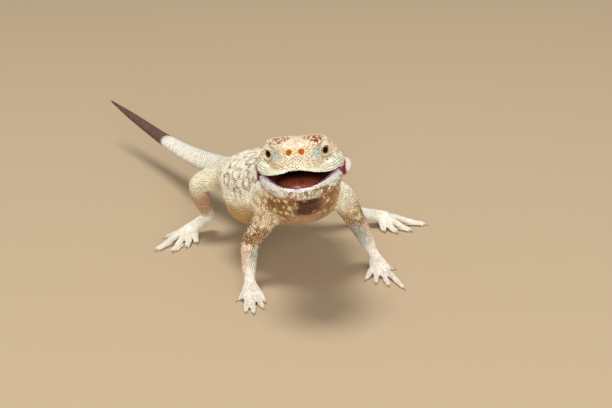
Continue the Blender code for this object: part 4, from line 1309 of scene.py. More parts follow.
@dataclass(frozen=True)
class WetEye:
    """A moist cornea over a black pupil and a golden brown iris: a hard, bright glint."""

    pupil_mm: float = 0.88
    iris_mm: float = 1.45
    reach_mm: float = 2.5  # from the line of sight to where the colours end
    pupil: str = "#050403"
    iris: str = "#C08A3A"
    iris_edge: str = "#8A5A22"
    limbus: str = "#2A1A0E"
    white: str = "#1A120C"  # dark in lizards

    def build(self) -> Material:
        """The material, coloured by the distance from the line of sight."""
        material, tree, shader = blank_material("agama_eye_wet_cornea")
        away = add_node(tree, "ShaderNodeAttribute", {"attribute_name": "away"}).outputs["Fac"]
        share = add_node(tree, "ShaderNodeMath", {"operation": "DIVIDE"}, {1: self.reach_mm},
                         {0: away}).outputs[0]
        stops = ((0.0, self.pupil), (self.pupil_mm, self.pupil), (self.pupil_mm + 0.08, self.iris),
                 (self.iris_mm - 0.3, self.iris_edge), (self.iris_mm, self.limbus), (2.4, self.white))
        colour = add_node(tree, "ShaderNodeValToRGB", None, None, {0: share},
                          tuple((distance / self.reach_mm, code) for distance, code in stops)).outputs[0]
        fill(tree, shader, {"Roughness": 0.06, "Specular IOR Level": 0.14}, {"Base Color": colour})
        return material


@dataclass(frozen=True)
class ClawHorn:
    """Horn: pale and slightly see-through at the root, brown towards the tip."""

    root: str = "#E3D3B4"
    tip: str = "#6B4A30"

    def build(self) -> Material:
        """The material, coloured along the claw."""
        material, tree, shader = blank_material("agama_claw_horn")
        share = add_node(tree, "ShaderNodeAttribute", {"attribute_name": "share"}).outputs["Fac"]
        colour = add_node(tree, "ShaderNodeMix", {"data_type": "RGBA"},
                          {6: rgba(self.root), 7: rgba(self.tip)}, {0: share}).outputs[2]
        fill(tree, shader, {"Roughness": 0.35}, {"Base Color": colour})
        return material


@dataclass(frozen=True)
class TongueFlesh:
    """Moist muscle with fine papillae: salmon at its tip, with painted shade that makes it darker and browner
    towards its root and sides.
    """

    # Painted shade over the root of the tongue.
    back: str = "#571E15"
    middle: str = "#B4603F"
    mottle: str = "#6E2A1B"
    tip: str = "#F0AE94"
    mottle_mm: float = 1.1
    papilla_mm: float = 0.5
    papilla_depth_mm: float = 0.15

    def build(self) -> Material:
        """The material, coloured along the tongue."""
        material, tree, shader = blank_material("agama_tongue_moist")
        node = partial(add_node, tree)
        share = node("ShaderNodeAttribute", {"attribute_name": "share"}).outputs["Fac"]
        stops = ((0.0, self.back), (0.35, self.back), (0.66, self.middle), (0.86, self.middle),
                 (0.95, self.tip))
        along = node("ShaderNodeValToRGB", None, None, {0: share}, stops).outputs[0]
        place = node("ShaderNodeTexCoord").outputs["Object"]
        grain = node("ShaderNodeTexNoise", None, {"Scale": 1 / (self.mottle_mm * MM), "Detail": 2.0},
                     {"Vector": place})
        patchy = node("ShaderNodeMapRange", None, {1: 0.5, 2: 0.66, 4: 0.7},
                      {0: grain.outputs["Fac"]}).outputs[0]
        colour = node("ShaderNodeMix", {"data_type": "RGBA"}, {7: rgba(self.mottle)}, {0: patchy, 6: along})
        spots = node("ShaderNodeTexVoronoi", None, {"Scale": 1 / (self.papilla_mm * MM)}, {"Vector": place})
        bump = node("ShaderNodeBump", {"invert": True},
                    {"Strength": 0.8, "Distance": self.papilla_depth_mm * MM},
                    {"Height": spots.outputs["Distance"]})
        fill(tree, shader, {"Roughness": 0.42}, {"Base Color": colour.outputs[2], "Normal": bump.outputs[0]})
        return material


@dataclass(frozen=True)
class ToothEnamel:
    """Small teeth in moist, lilac gum: pale, with a soft gloss."""

    colour: str = "#B893A2"

    def build(self) -> Material:
        """The material, one colour all over."""
        material, tree, shader = blank_material("agama_teeth_enamel")
        fill(tree, shader, {"Base Color": rgba(self.colour), "Roughness": 0.3}, None)
        return material


def new_object(name: str, points: Array, faces: list | Array, material: Material) -> Object:
    """A smooth mesh object.

    Args:
        name: its name.
        points: corners in the millimetre frame.
        faces: corner numbers of each face.
        material: its finish.

    Returns:
        The object, in metres, with its origin at the model's.
    """
    mesh = bpy.data.meshes.new(name)
    faces = faces if isinstance(faces, list) else faces.tolist()
    mesh.from_pydata(((points - ORIGIN) * MM).tolist(), [], faces)
    mesh.materials.append(material)
    mesh.shade_smooth()
    item = bpy.data.objects.new(name, mesh)
    bpy.context.scene.collection.objects.link(item)
    return item


def store(item: Object, name: str, values: Array) -> None:
    """Stores numbers, colours or places on the points of a mesh.

    Args:
        item: the mesh object.
        name: what they are called; tint is a colour.
        values: one row for each point.
    """
    kind, key = ("FLOAT", "value") if values.ndim == 1 else ("FLOAT_VECTOR", "vector")
    if name == "tint":
        kind, key, values = "FLOAT_COLOR", "color", np.column_stack((values, np.ones(len(values))))
    layer = item.data.attributes.new(name, kind, "POINT")
    layer.data.foreach_set(key, np.ascontiguousarray(values, np.float32).ravel())


def ridden(item: Object) -> Object:
    """Sets a piece on the model's one body and reports it.

    Args:
        item: the piece.

    Returns:
        The piece.
    """
    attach(item, "root")
    LOG.info("%s: %d faces", item.name, len(item.data.polygons))
    return item


@dataclass
class Skin:
    """The one skin over all the flesh."""

    anatomy: Anatomy
    markings: Markings
    voxel: float = 0.42
    floor_room: float = 0.04
    weave: Weave | None = None
    tree: BVHTree | None = None
    facts: Array | None = None

    def build(self, material: Material) -> Object:
        """Fuses the flesh, smooths it, creases it, opens mouth and eyes, and colours it.

        Args:
            material: the skin's finish.

        Returns:
            The skin.
        """
        points, faces = self.fused()
        weave = self.weave = Weave(points, faces)
        weave.points = weave.smoothed(weave.points, 0.5, 3)
        facts = self.facts = self.anatomy.blueprint.facts_near(weave.points)
        self.soften_joins()
        self.crease()
        self.open_gullet()
        self.open_eyes()
        weave.points[:, 2] = np.maximum(weave.points[:, 2], self.floor_room)
        paint = self.markings.paint(weave.points, weave.normals(), facts)
        item = new_object("agama_skin", weave.points, faces, material)
        store(item, "root", (weave.points - ORIGIN) * MM)
        # The bare skin is coloured as between scales, with its painted shade.
        store(item, "tint", paint["gap"])
        for name in PATTERNS:
            store(item, name, paint[name])
        store(item, "tone", np.zeros(len(points)))
        self.tree = BVHTree.FromPolygons(weave.points.tolist(), faces.tolist())
        return item

    def fused(self) -> tuple[Array, Array]:
        """The flesh as one closed surface, by voxels.

        Returns:
            Its points and its four-cornered faces.
        """
        plan = self.anatomy.blueprint
        mesh = bpy.data.meshes.new("flesh")
        mesh.from_pydata(plan.points.tolist(), [], plan.faces)
        item = bpy.data.objects.new("flesh", mesh)
        bpy.context.scene.collection.objects.link(item)
        change = item.modifiers.new("fuse", "REMESH")
        change.mode, change.voxel_size = "VOXEL", self.voxel
        made = item.evaluated_get(bpy.context.evaluated_depsgraph_get()).to_mesh()
        points = np.zeros(len(made.vertices) * 3)
        made.vertices.foreach_get("co", points)
        faces = np.zeros(len(made.loops), np.int64)
        made.loops.foreach_get("vertex_index", faces)
        item.to_mesh_clear()
        bpy.data.objects.remove(item)
        bpy.data.meshes.remove(mesh)
        return points.reshape(-1, 3), faces.reshape(-1, 4)

    def soften_joins(self) -> None:
        """Rounds the angle where one form of body or legs grows out of another."""
        weave, region = self.weave, self.facts[:, 0]
        joined = np.zeros(len(region))
        a, b = weave.edges.T
        differs = region[a] != region[b]
        blunt = np.isin(region, (Region.TRUNK, Region.ARM, Region.LEG, Region.HAND, Region.FOOT))
        differs &= blunt[a] & blunt[b]
        joined[np.concatenate((a[differs], b[differs]))] = 1.0
        joined = weave.smoothed(joined[:, None], 1.0, 14)[:, 0]
        weave.points = weave.smoothed(weave.points, np.clip(joined * 3.0, 0.0, 0.9), 26)

    def crease(self) -> None:
        """Loose skin: folds across throat and neck, creases at flanks and joints, raised nostril rims."""
        weave = self.weave
        region, along, turn, _ = self.facts.T
        points, normals, high = weave.points, weave.normals(), np.sin(turn)
        lumps = lattice_noise(points, 2.6, 7) * 0.10 + lattice_noise(points, 7.0, 8) * 0.22
        collar = np.exp(-((along - 13.5 - high * 1.2) / 1.1) ** 2) * smooth(0.3, -0.3, high)
        side = np.exp(-((high + 0.25 + lattice_noise(points, 9.0, 9) * 0.12) / 0.13) ** 2)
        side *= smooth(34, 44, along) * smooth(84, 72, along) * (np.abs(np.cos(turn)) > 0.5)
        shift = lumps * smooth(10, 20, along) * smooth(120, 100, along) - collar * 0.75 - side * 0.4
        shift *= region == Region.TRUNK
        wrinkle = lattice_noise(points * (1.0, 1.0, 2.2), 1.5, 11) * 0.07
        shift += np.isin(region, (Region.ARM, Region.LEG)) * wrinkle
        knobs = lattice_noise(points, 1.1, 12) * 0.07
        shift += np.isin(region, (Region.SKULL, Region.THROAT, Region.JAW, Region.LID)) * knobs
        for hand in Side:
            away = np.linalg.norm(points - nostril_point(hand), axis=1)
            shift += np.exp(-((away - 1.05) / 0.3) ** 2) * 0.16 - smooth(0.9, 0.4, away) * 0.3
        weave.points = points + normals * shift[:, None]

    def open_gullet(self) -> None:
        """Draws the back of the mouth into a dark hollow that leads to the throat."""
        weave = self.weave
        f, out, up = head_measures(weave.points)
        share = gullet_share(out, up) * 1.12
        hit = (np.abs(f) < 0.9) & (share < 1.0) & (weave.normals() @ HEAD_AHEAD > 0.3)
        weave.points = weave.points - HEAD_AHEAD * (GULLET_DEPTH * hit * (1 - share**2))[:, None]

    def open_eyes(self) -> None:
        """Sinks the skin between the lids, so that the eyeballs show."""
        weave = self.weave
        for hand in Side:
            centre, level, over, look = eye_frame(hand)
            away = weave.points - centre
            across, high, deep = away @ level, away @ over, away @ look
            ring = np.hypot(across, high)
            limit = np.sqrt(np.maximum(LID_RADIUS**2 - np.minimum(ring, ORBIT_RING) ** 2, 0.0))
            limit += np.maximum(ring - ORBIT_RING, 0.0) * ORBIT_SLOPE
            deep = np.where((deep > limit) & (deep < LID_RADIUS + 2.5) & (ring < 4.0), limit, deep)
            weave.points = centre + level * across[:, None] + over * high[:, None] + look * deep[:, None]
            share = np.hypot(across / LID_OPENING[0], high / LID_OPENING[1])
            hit = (share < 1.15) & (deep > 0.0) & (deep < LID_RADIUS + 1.5)
            floor = np.sqrt(np.maximum((EYE_RADIUS - 0.5) ** 2 - across**2 - high**2, 0.0))
            sunk = deep + (floor - deep) * smooth(1.15, 0.95, share)
            moved = centre + level * across[:, None] + over * high[:, None] + look * sunk[:, None]
            weave.points = np.where(hit[:, None], moved, weave.points)


@dataclass(frozen=True)
class ScaleForm:
    """The shape of one scale: x across, y along its lie, z off the skin, in shares of its sizes."""

    points: Array
    faces: Array
    # The foot of a scale takes the painted shade of the skin between scales.
    lift: Array  # 0 where it meets the gap, 1 on its crest

    @staticmethod
    def ring(sides: int, start: float = 0.0) -> Array:
        """The corners of a round outline."""
        turns = 2 * np.pi * (np.arange(sides) + start) / sides
        return np.column_stack((np.cos(turns), np.sin(turns)))

    @staticmethod
    def dome(outline: Array, levels: tuple[tuple[float, float], ...]) -> "ScaleForm":
        """A closed scale built of rings of one outline, with a point on top.

        Args:
            outline: the shape seen from above.
            levels: share of the outline and height of each ring, from the foot up.

        Returns:
            The form.
        """
        sides = len(outline)
        rings = [np.column_stack((outline * share, np.full(sides, high))) for share, high in levels]
        points = np.concatenate((*rings, [(0.0, 0.0, 1.0)]))
        faces, last = [], (len(rings) - 1) * sides
        for base in range(0, last, sides):
            for j in range(sides):
                k = (j + 1) % sides
                faces += [(base + j, base + k, base + sides + k),
                          (base + j, base + sides + k, base + sides + j)]
        faces += [(last + j, last + (j + 1) % sides, len(points) - 1) for j in range(sides)]
        faces += [(0, j + 1, j) for j in range(1, sides - 1)]
        lift = np.concatenate((np.zeros(sides), np.full(last, 0.85), [1.0]))
        return ScaleForm(points, np.array(faces), lift)

    @staticmethod
    def granule() -> "ScaleForm":
        """A round grain with its foot sunk in the skin."""
        return ScaleForm.dome(ScaleForm.ring(5), ((1.0, -0.5), (0.84, 0.5)))

    @staticmethod
    def pebble() -> "ScaleForm":
        """A smoother grain for the face, with a rounded shoulder."""
        return ScaleForm.dome(ScaleForm.ring(8), ((1.0, -0.5), (0.9, 0.35), (0.6, 0.85)))

    @staticmethod
    def shield() -> "ScaleForm":
        """A low plate with rounded corners, that meets its neighbours in a row."""
        outline = ScaleForm.ring(12, 0.5)
        outline = np.sign(outline) * np.abs(outline) ** 0.6
        return ScaleForm.dome(outline, ((1.0, -0.6), (0.9, 0.45), (0.62, 0.9)))

    @staticmethod
    def leaf() -> "ScaleForm":
        """A keeled scale whose hind tip stands over the next one."""
        points = np.array(((0, -1, -0.4), (0.9, -0.1, 0.0), (0, 1.15, 0.5), (-0.9, -0.1, 0.0),
                           (0, -0.4, 0.55), (0, 0.6, 0.9), (0, 0.1, -0.6)), float)
        faces = np.array(((0, 1, 4), (1, 5, 4), (1, 2, 5), (2, 3, 5), (3, 4, 5), (3, 0, 4),
                          (0, 6, 1), (1, 6, 2), (2, 6, 3), (3, 6, 0)))
        return ScaleForm(points, faces, np.array((0.0, 0.45, 0.6, 0.45, 0.9, 1.0, 0.0)))

    @staticmethod
    def thorn() -> "ScaleForm":
        """A pointed scale that leans the way it lies."""
        ring = ScaleForm.ring(5)
        foot = np.column_stack((ring * 0.55, np.full(5, -0.35)))
        waist = np.column_stack((ring * 0.38 + (0.0, 0.15), np.full(5, 0.35)))
        faces = []
        for j in range(5):
            k = (j + 1) % 5
            faces += [(j, k, 5 + k), (j, 5 + k, 5 + j), (5 + j, 5 + k, 10)]
        faces += [(0, 2, 1), (0, 3, 2), (0, 4, 3)]
        lift = np.concatenate((np.zeros(5), np.full(5, 0.7), [1.0]))
        return ScaleForm(np.concatenate((foot, waist, [(0.0, 0.5, 1.0)])), np.array(faces), lift)


@dataclass
class Roots:
    """Where scales grow: places, outward directions, lies, sizes and places on the unwrap."""

    places: Array
    outward: Array
    lie: Array
    sizes: Array  # half width, half length and height of each, in millimetres
    spread: Array  # two numbers from 0 to 1

    @staticmethod
    def joined(parts: list["Roots"]) -> "Roots":
        """Several sets of roots as one."""
        names = ("places", "outward", "lie", "sizes", "spread")
        return Roots(*(np.concatenate([getattr(part, name) for part in parts]) for name in names))


def place_tree(places: Array) -> KDTree:
    """A search tree of places."""
    tree = KDTree(len(places))
    for number, place in enumerate(places.tolist()):
        tree.insert(place, number)
    tree.balance()
    return tree


@dataclass
class Coat:
    """Scales of every kind, grown on the skin."""

    skin: Skin
    markings: Markings
    material: Material
    variety: float = 0.2  # how much scales differ in colour from each other
    draw: np.random.Generator = field(default_factory=lambda: np.random.default_rng(SEED))

    def piece(self, name: str, form: ScaleForm, roots: Roots) -> Object:
        """One joined mesh of scales.

        Args:
            name: its name.
            form: the shape of each scale.
            roots: where they grow.

        Returns:
            The object.
        """
        count, corners = len(roots.places), len(form.points)
        lie = unit(roots.lie - roots.outward * np.sum(roots.lie * roots.outward, axis=1, keepdims=True))
        across = np.cross(lie, roots.outward)
        local = form.points[None] * roots.sizes[:, None]
        points = (roots.places[:, None] + across[:, None] * local[..., :1] + lie[:, None] * local[..., 1:2]
                  + roots.outward[:, None] * local[..., 2:]).reshape(-1, 3)
        faces = (form.faces[None] + (np.arange(count) * corners)[:, None, None]).reshape(-1, 3)
        item = new_object(name, points, faces, self.material)
        paint = self.markings.paint(roots.places, roots.outward)
        lift = np.tile(form.lift, count)[:, None]
        pale, warm = self.draw.uniform(-1.0, 1.0, (2, count))
        dry = self.variety * (1 - np.clip(paint["wet"], 0, 1))
        own = 1 + (dry * pale)[:, None] + (dry * warm)[:, None] * (0.1, -0.25, -0.6)
        paint["tint"] = np.clip(paint["tint"] * own, 0.0, 0.86)
        tint, gap = (np.repeat(paint[key], corners, axis=0) for key in ("tint", "gap"))
        # Painted shade: each scale darkens from its crest down to its foot, towards the shaded colour between
        # scales.
        store(item, "tint", gap + (tint - gap) * lift)
        store(item, "root", np.repeat((roots.places - ORIGIN) * MM, corners, axis=0))
        for key in PATTERNS:
            store(item, key, np.repeat(paint[key], corners))
        store(item, "tone", np.repeat(self.draw.uniform(-1.0, 1.0, count), corners))
        self.unwrap(item, form, roots)
        return ridden(item)

    @staticmethod
    def unwrap(item: Object, form: ScaleForm, roots: Roots) -> None:
        """Gives each scale a small patch of its own at its root's place on the unwrap.

        Args:
            item: the piece.
            form: the shape of each scale.
            roots: where they grow.
        """
        patch = 0.0015
        flat = roots.spread[:, None] * 0.98 + 0.01 + form.points[None, :, :2] * patch
        layer = item.data.uv_layers.new(name="OFBake")
        corner = np.zeros(len(item.data.loops), np.int64)
        item.data.loops.foreach_get("vertex_index", corner)
        layer.data.foreach_set("uv", flat.reshape(-1, 2)[corner].astype(np.float32).ravel())

    def settle(self, points: Array, reach: float) -> tuple[Array, Array, Array]:
        """The nearest places on the skin.

        Args:
            points: where scales are wanted.
            reach: how far off the skin they may be.

        Returns:
            Places, outward directions, and which of the points have one.
        """
        places, outward, kept = np.zeros_like(points), np.zeros_like(points), np.zeros(len(points), bool)
        for number, point in enumerate(points.tolist()):
            place, normal, _, distance = self.skin.tree.find_nearest(point)
            places[number], outward[number], kept[number] = place, normal, distance <= reach
        return places, outward, kept

    def rooted(self, points: Array, reach: float, lies: Array, sizes: Array) -> Roots:
        """Scales of the head on the skin nearest to some points.

        Args:
            points: where they are wanted.
            reach: how far off the skin that may be.
            lies: the ways they lie.
            sizes: their sizes.

        Returns:
            The roots of those near enough.
        """
        places, outward, kept = self.settle(points, reach)
        places = places[kept]
        return Roots(places, outward[kept], lies[kept], sizes[kept], self.spread(places))

    def allowed(self, places: Array, outward: Array) -> Array:
        """Which places carry scales: not the mouth's lining, lips, eyes, nostrils or soles.

        Args:
            places: the places.
            outward: outward directions there.

        Returns:
            Yes or no for each.
        """
        kept = self.markings.paint(places, outward)["bare"] < 0.5
        wide, high = LID_OPENING[0] + LID_BARE, LID_OPENING[1] + LID_BARE
        for hand in Side:
            centre, level, over, look = eye_frame(hand)
            away = places - centre
            share = np.hypot(away @ level / wide, away @ over / high)
            kept &= ~((share < 1.0) & (away @ look > 0))
            kept &= np.linalg.norm(places - nostril_point(hand), axis=1) > NOSTRIL_BARE
        return kept & ~((places[:, 2] < 0.5) & (outward[:, 2] < -0.4))

    def rows(self, sheet: Sheet, start: float, end: float, spacing: float, flat: float,
             height: float) -> Roots:
        """Rows of scales round a length of body.

        Args:
            sheet: the length of body.
            start: where the rows start along it.
            end: where they end.
            spacing: distance between neighbours in millimetres.
            flat: how much larger the scales of the underside are.
            height: how high a scale stands.

        Returns:
            Their roots.
        """
        points, lies, spreads, sizes = [], [], [], []
        corners, jitter = 48, 0.08
        along, number = start, 0
        while along < end:
            around = sheet.points(np.full(corners, along), round_turns(corners))
            marks = run_marks(np.concatenate((around, around[:1])))
            narrow = min(spacing, max(0.34, marks[-1] / 9))
            count = max(6, int(round(marks[-1] / narrow)))
            shares = np.arange(count) + 0.5 * (number % 2) + self.draw.uniform(-jitter, jitter, count)
            shares = shares / count % 1.0
            turns = np.interp(shares * marks[-1], marks, 2 * np.pi * np.arange(corners + 1) / corners)
            stops = along + self.draw.uniform(-jitter, jitter, count) * narrow
            stops = np.clip(stops, 0.0, sheet.course.length)
            points.append(sheet.points(stops, turns))
            lies.append(sheet.course.heading(stops))
            spreads.append(np.column_stack((shares, stops / sheet.course.length)))
            grow = 1 + flat * smooth(-0.5, -0.9, np.sin(turns))
            wide = marks[-1] / count * 0.62
            lift = height * min(1.0, narrow / spacing)
            sizes.append(np.column_stack((np.full(count, wide), wide * 1.12 * grow, lift / grow)))
            along += narrow * 0.88
            number += 1
        points, lies, spreads, sizes = (np.concatenate(values) for values in (points, lies, spreads, sizes))
        places, outward, kept = self.settle(points, 1.6)
        kept &= self.allowed(places, outward)
        kept &= self.thinned(places, spacing * 0.55, kept)
        return Roots(places[kept], outward[kept], lies[kept], sizes[kept], spreads[kept])

    @staticmethod
    def thinned(places: Array, room: float, wanted: Array) -> Array:
        """Which places keep their distance from those before them.

        Args:
            places: the places.
            room: the least distance between two.
            wanted: which of them may stay at all.

        Returns:
            Yes or no for each.
        """
        kept = np.zeros(len(places), bool)
        cells: dict[tuple[int, int, int], list[int]] = {}
        keys = np.floor(places / room).astype(int)
        steps = tuple(product((-1, 0, 1), repeat=3))
        for number in np.flatnonzero(wanted):
            x, y, z = keys[number].tolist()
            near = [other for i, j, k in steps for other in cells.get((x + i, y + j, z + k), ())]
            if near and (np.sum((places[near] - places[number]) ** 2, axis=1) < room * room).any():
                continue
            kept[number] = True
            cells.setdefault((x, y, z), []).append(number)
        return kept

    def scattered(self, faces: Array, spacing: float, size: float, height: float) -> Roots:
        """Grains scattered evenly over some faces of the skin, leaning back every way.

        Args:
            faces: numbers of the skin's faces.
            spacing: least distance between neighbours in millimetres.
            size: half size of a grain whose neighbours are that far off.
            height: how high it stands.

        Returns:
            Their roots.
        """
        places, outward = self.darts(faces, spacing, 14)
        kept = self.thinned(places, spacing, self.allowed(places, outward))
        places, outward = places[kept], outward[kept]
        rooms = np.clip(self.room(places)[:, None] / spacing, 1.0, 1.7)
        sizes = np.array((size, size, height)) * rooms * self.draw.uniform(0.94, 1.06, (len(places), 1))
        lies = self.draw.normal(0.0, 1.2, (len(places), 3)) - HEAD_AHEAD
        return Roots(places, outward, lies, sizes, self.spread(places))

    def darts(self, faces: Array, spacing: float, plenty: float) -> tuple[Array, Array]:
        """Random places on some faces of the skin.

        Args:
            faces: numbers of the skin's faces.
            spacing: distance wanted between neighbours once they are thinned, in millimetres.
            plenty: how many darts are thrown for each square of that side.

        Returns:
            Places and the outward directions there.
        """
        weave = self.skin.weave
        corners = weave.points[weave.faces[faces]]
        normals = np.cross(corners[:, 2] - corners[:, 0], corners[:, 3] - corners[:, 1])
        area = np.linalg.norm(normals, axis=1) / 2
        count = int(area.sum() / spacing**2 * plenty)
        pick = self.draw.choice(len(faces), count, p=area / area.sum())
        u, v = self.draw.random((2, count, 1))
        a, b, c, d = corners[pick].transpose(1, 0, 2)
        places = (a * (1 - u) + b * u) * (1 - v) + (d * (1 - u) + c * u) * v
        return places, unit(normals[pick])

    def filled(self, roots: Roots, regions: tuple[Region, ...], room: float) -> Roots:
        """Adds scales like their neighbours where the rows have left bare skin.

        Args:
            roots: the rows.
            regions: what they lie on.
            room: least distance of a new scale from any other, in millimetres.

        Returns:
            The rows and the new scales.
        """
        weave = self.skin.weave
        faces = np.flatnonzero(np.isin(self.skin.facts[weave.faces[:, 0], 0], regions))
        places, outward = self.darts(faces, room, 8)
        tree = place_tree(roots.places)
        hits = [tree.find(place) for place in places.tolist()]
        near, away = np.array([hit[1] for hit in hits]), np.array([hit[2] for hit in hits])
        bare = (away > room) & (away < 5 * room)
        places, outward, near = places[bare], outward[bare], near[bare]
        kept = self.thinned(places, room, self.allowed(places, outward))
        near = near[kept]
        spread = np.clip(roots.spread[near] + self.draw.uniform(-0.006, 0.006, (len(near), 2)), 0.0, 1.0)
        added = Roots(places[kept], outward[kept], roots.lie[near], roots.sizes[near], spread)
        return Roots.joined([roots, added])

    @staticmethod
    def room(places: Array) -> Array:
        """The mean distance from each place to the five nearest others."""
        tree = place_tree(places)
        return np.array([sum(near[2] for near in tree.find_n(place, 6)) / 5 for place in places.tolist()])

    def spread(self, places: Array) -> Array:
        """Places on an unwrap of the head: round its axis and along it."""
        f, out, up = head_measures(places)
        turn = np.arctan2(out, up - 1.0) / (2 * np.pi) + 0.5
        return np.clip(np.column_stack((turn, (f + 10.0) / 29.0)), 0.0, 1.0)

    def labials(self) -> Roots:
        """Lip shields: beads along the edge, rows of longer ones above it, beads under the lower lip."""
        f = np.linspace(0.2, 17.9, 240)
        squeeze = labial_squeeze(f)
        halves = [Course(skull_outline(row), places=2) for row in SKULL_COURSE.at(f - SKULL[0][0])]
        lip_corner, first, step = 3, 0.22, 0.73
        parts = []
        for number, short in enumerate((0.0, 1.0, 1.3, 1.6, 2.0, 2.6)):
            rises = first + step * number * squeeze
            line = np.array([half.at(half.marks[lip_corner] + rise)[0][:2]
                             for half, rise in zip(halves, rises)])
            inner = line[:, 0] > short
            parts += self.lip_row(f[inner], line[inner], number == 0, number, squeeze)
        f = np.linspace(3.2, 16.6, 200)
        halves = [Course(jaw_outline(row), places=2) for row in JAW_COURSE.at(f - JAW[0][0])]
        lip_corner = 4
        for number, rise in enumerate((0.45, 1.0)):
            line = np.array([half.at(half.marks[lip_corner] + rise)[0][:2] for half in halves])
            parts += self.lip_row(f, line, True, number, np.ones(len(f)))
        return Roots.joined(parts)

    def lip_row(self, f: Array, line: Array, beads: bool, number: int, squeeze: Array) -> list[Roots]:
        """One row of lip shields on both sides of the head.

        Args:
            f: distances forward.
            line: how far out and up the row runs there.
            beads: round ones that meet at the tip, or long ones that stop short of it.
            number: the row's number, which staggers it.
            squeeze: how far the rows have closed up.

        Returns:
            The roots of each run.
        """
        step, form = (0.56, (0.31, 0.285, 0.26)) if beads else (0.92, (0.375, 0.47, 0.22))
        parts = []
        for hand in Side:
            run = head_point(f, hand * line[:, 0], line[:, 1])
            marks, squeeze = run_marks(run), squeeze[:len(run)]
            stops = [step / 2 + 0.4 * step * (number % 2)]
            while stops[-1] < marks[-1]:
                stops.append(stops[-1] + step * float(np.interp(stops[-1], marks, squeeze)) ** 0.5)
            points = np.column_stack([np.interp(stops, marks, run[:, k]) for k in range(3)])
            sizes = np.array(form) * self.draw.uniform(0.94, 1.06, (len(points), 1))
            if not beads:
                sizes = sizes * np.interp(stops, marks, squeeze)[:, None] ** 0.6
            parts.append(self.rooted(points, 0.8, unit(np.gradient(points, axis=0)), sizes))
        return parts

    def lid_rings(self) -> Roots:
        """Rings of grains round the eyes."""
        spacing, half, height, rim_height = 0.46, 0.25, 0.2, 0.26
        parts = []
        for hand in Side:
            centre, level, over, look = eye_frame(hand)
            for number, grow in enumerate((0.28, 0.72, 1.18, 1.66)):
                wide, high = LID_OPENING[0] + grow, LID_OPENING[1] + grow
                count = int(2 * math.pi * math.sqrt((wide**2 + high**2) / 2) / spacing)
                turns = 2 * np.pi * (np.arange(count) + 0.5 * (number % 2)) / count
                flat = level * (wide * np.cos(turns))[:, None] + over * (high * np.sin(turns))[:, None]
                deep = np.sqrt(np.maximum(LID_RADIUS**2 - np.sum(flat**2, axis=1), 0.2))
                points = centre + flat + look * deep[:, None]
                sizes = np.tile((half, half, height if number else rim_height), (count, 1))
                parts.append(self.rooted(points, 0.7, unit(flat), sizes))
        return Roots.joined(parts)

    def grow(self) -> None:
        """Every piece of the coat."""
        trunk, *limbs = self.skin.anatomy.sheets
        grain, leaf, pebble = ScaleForm.granule(), ScaleForm.leaf(), ScaleForm.pebble()
        fore = self.filled(self.rows(trunk, 0.4, SHOULDER, 0.72, 0.35, 0.20), (Region.TRUNK,), 0.56)
        self.piece("trunk_fore_scales", grain, fore)
        hind = self.filled(self.rows(trunk, SHOULDER, VENT, 0.74, 0.35, 0.20), (Region.TRUNK,), 0.58)
        self.piece("trunk_hind_scales", grain, hind)
        self.piece("tail_scales", leaf, self.rows(trunk, VENT, trunk.end - 0.3, 0.84, 0.1, 0.26))
        for name, regions, slot in (("arm", (Region.ARM,), "limb_skin"), ("leg", (Region.LEG,), "limb_skin"),
                                    ("hand", (Region.HAND, Region.FINGER), "foot_skin"),
                                    ("foot", (Region.FOOT, Region.TOE), "foot_skin")):
            parts = []
            for number, sheet in enumerate(sheet for sheet in limbs if sheet.region in regions):
                part = self.rows(sheet, 0.2, sheet.end, SCALE_SPACING[sheet.region], 0.0, 0.22)
                part.spread = (part.spread + (number % 4, number // 4)) / 4.0
                parts.append(part)
            self.piece(f"{name}_scales", leaf, self.filled(Roots.joined(parts), regions, 0.6))
        weave = self.skin.weave
        region = self.skin.facts[weave.faces[:, 0], 0]
        f, out, up = head_measures(weave.points[weave.faces].mean(axis=1))
        labial = (over_lip(f, up) / labial_squeeze(f) < LABIAL_RISE) & (f > 0.0) & (np.abs(out) > 1.6)
        labial &= np.isin(region, (Region.SKULL, Region.LIP))
        for name, regions, form, spacing, size, height in (
            ("head", (Region.SKULL, Region.LIP, Region.LID), pebble, 0.48, 0.285, 0.22),
            ("chin", (Region.JAW, Region.THROAT), pebble, 0.44, 0.265, 0.26),
            ("fold", (Region.FOLD,), grain, 0.36, 0.22, 0.17),
        ):
            faces = np.flatnonzero(np.isin(region, regions) & ~labial)
            self.piece(f"{name}_scales", form, self.scattered(faces, spacing, size, height))
        self.piece("lip_shields", ScaleForm.shield(), self.labials())
        self.piece("lid_scales", pebble, self.lid_rings())
        self.piece("spines", ScaleForm.thorn(), self.spines())

    def spines(self) -> Roots:
        """Thorny scales: brows, jaw edge, neck sides, folds and the fringes of the long toes."""
        points, lies, sizes = [], [], []
        draw = self.draw

        def thorn(point: Array, lie: Array, wide: float, high: float) -> None:
            """Adds one thorny scale.

            Args:
                point: near its root.
                lie: the way it leans.
                wide: half its width.
                high: its height.
            """
            points.append(point)
            lies.append(lie)
            sizes.append((wide, wide, high))

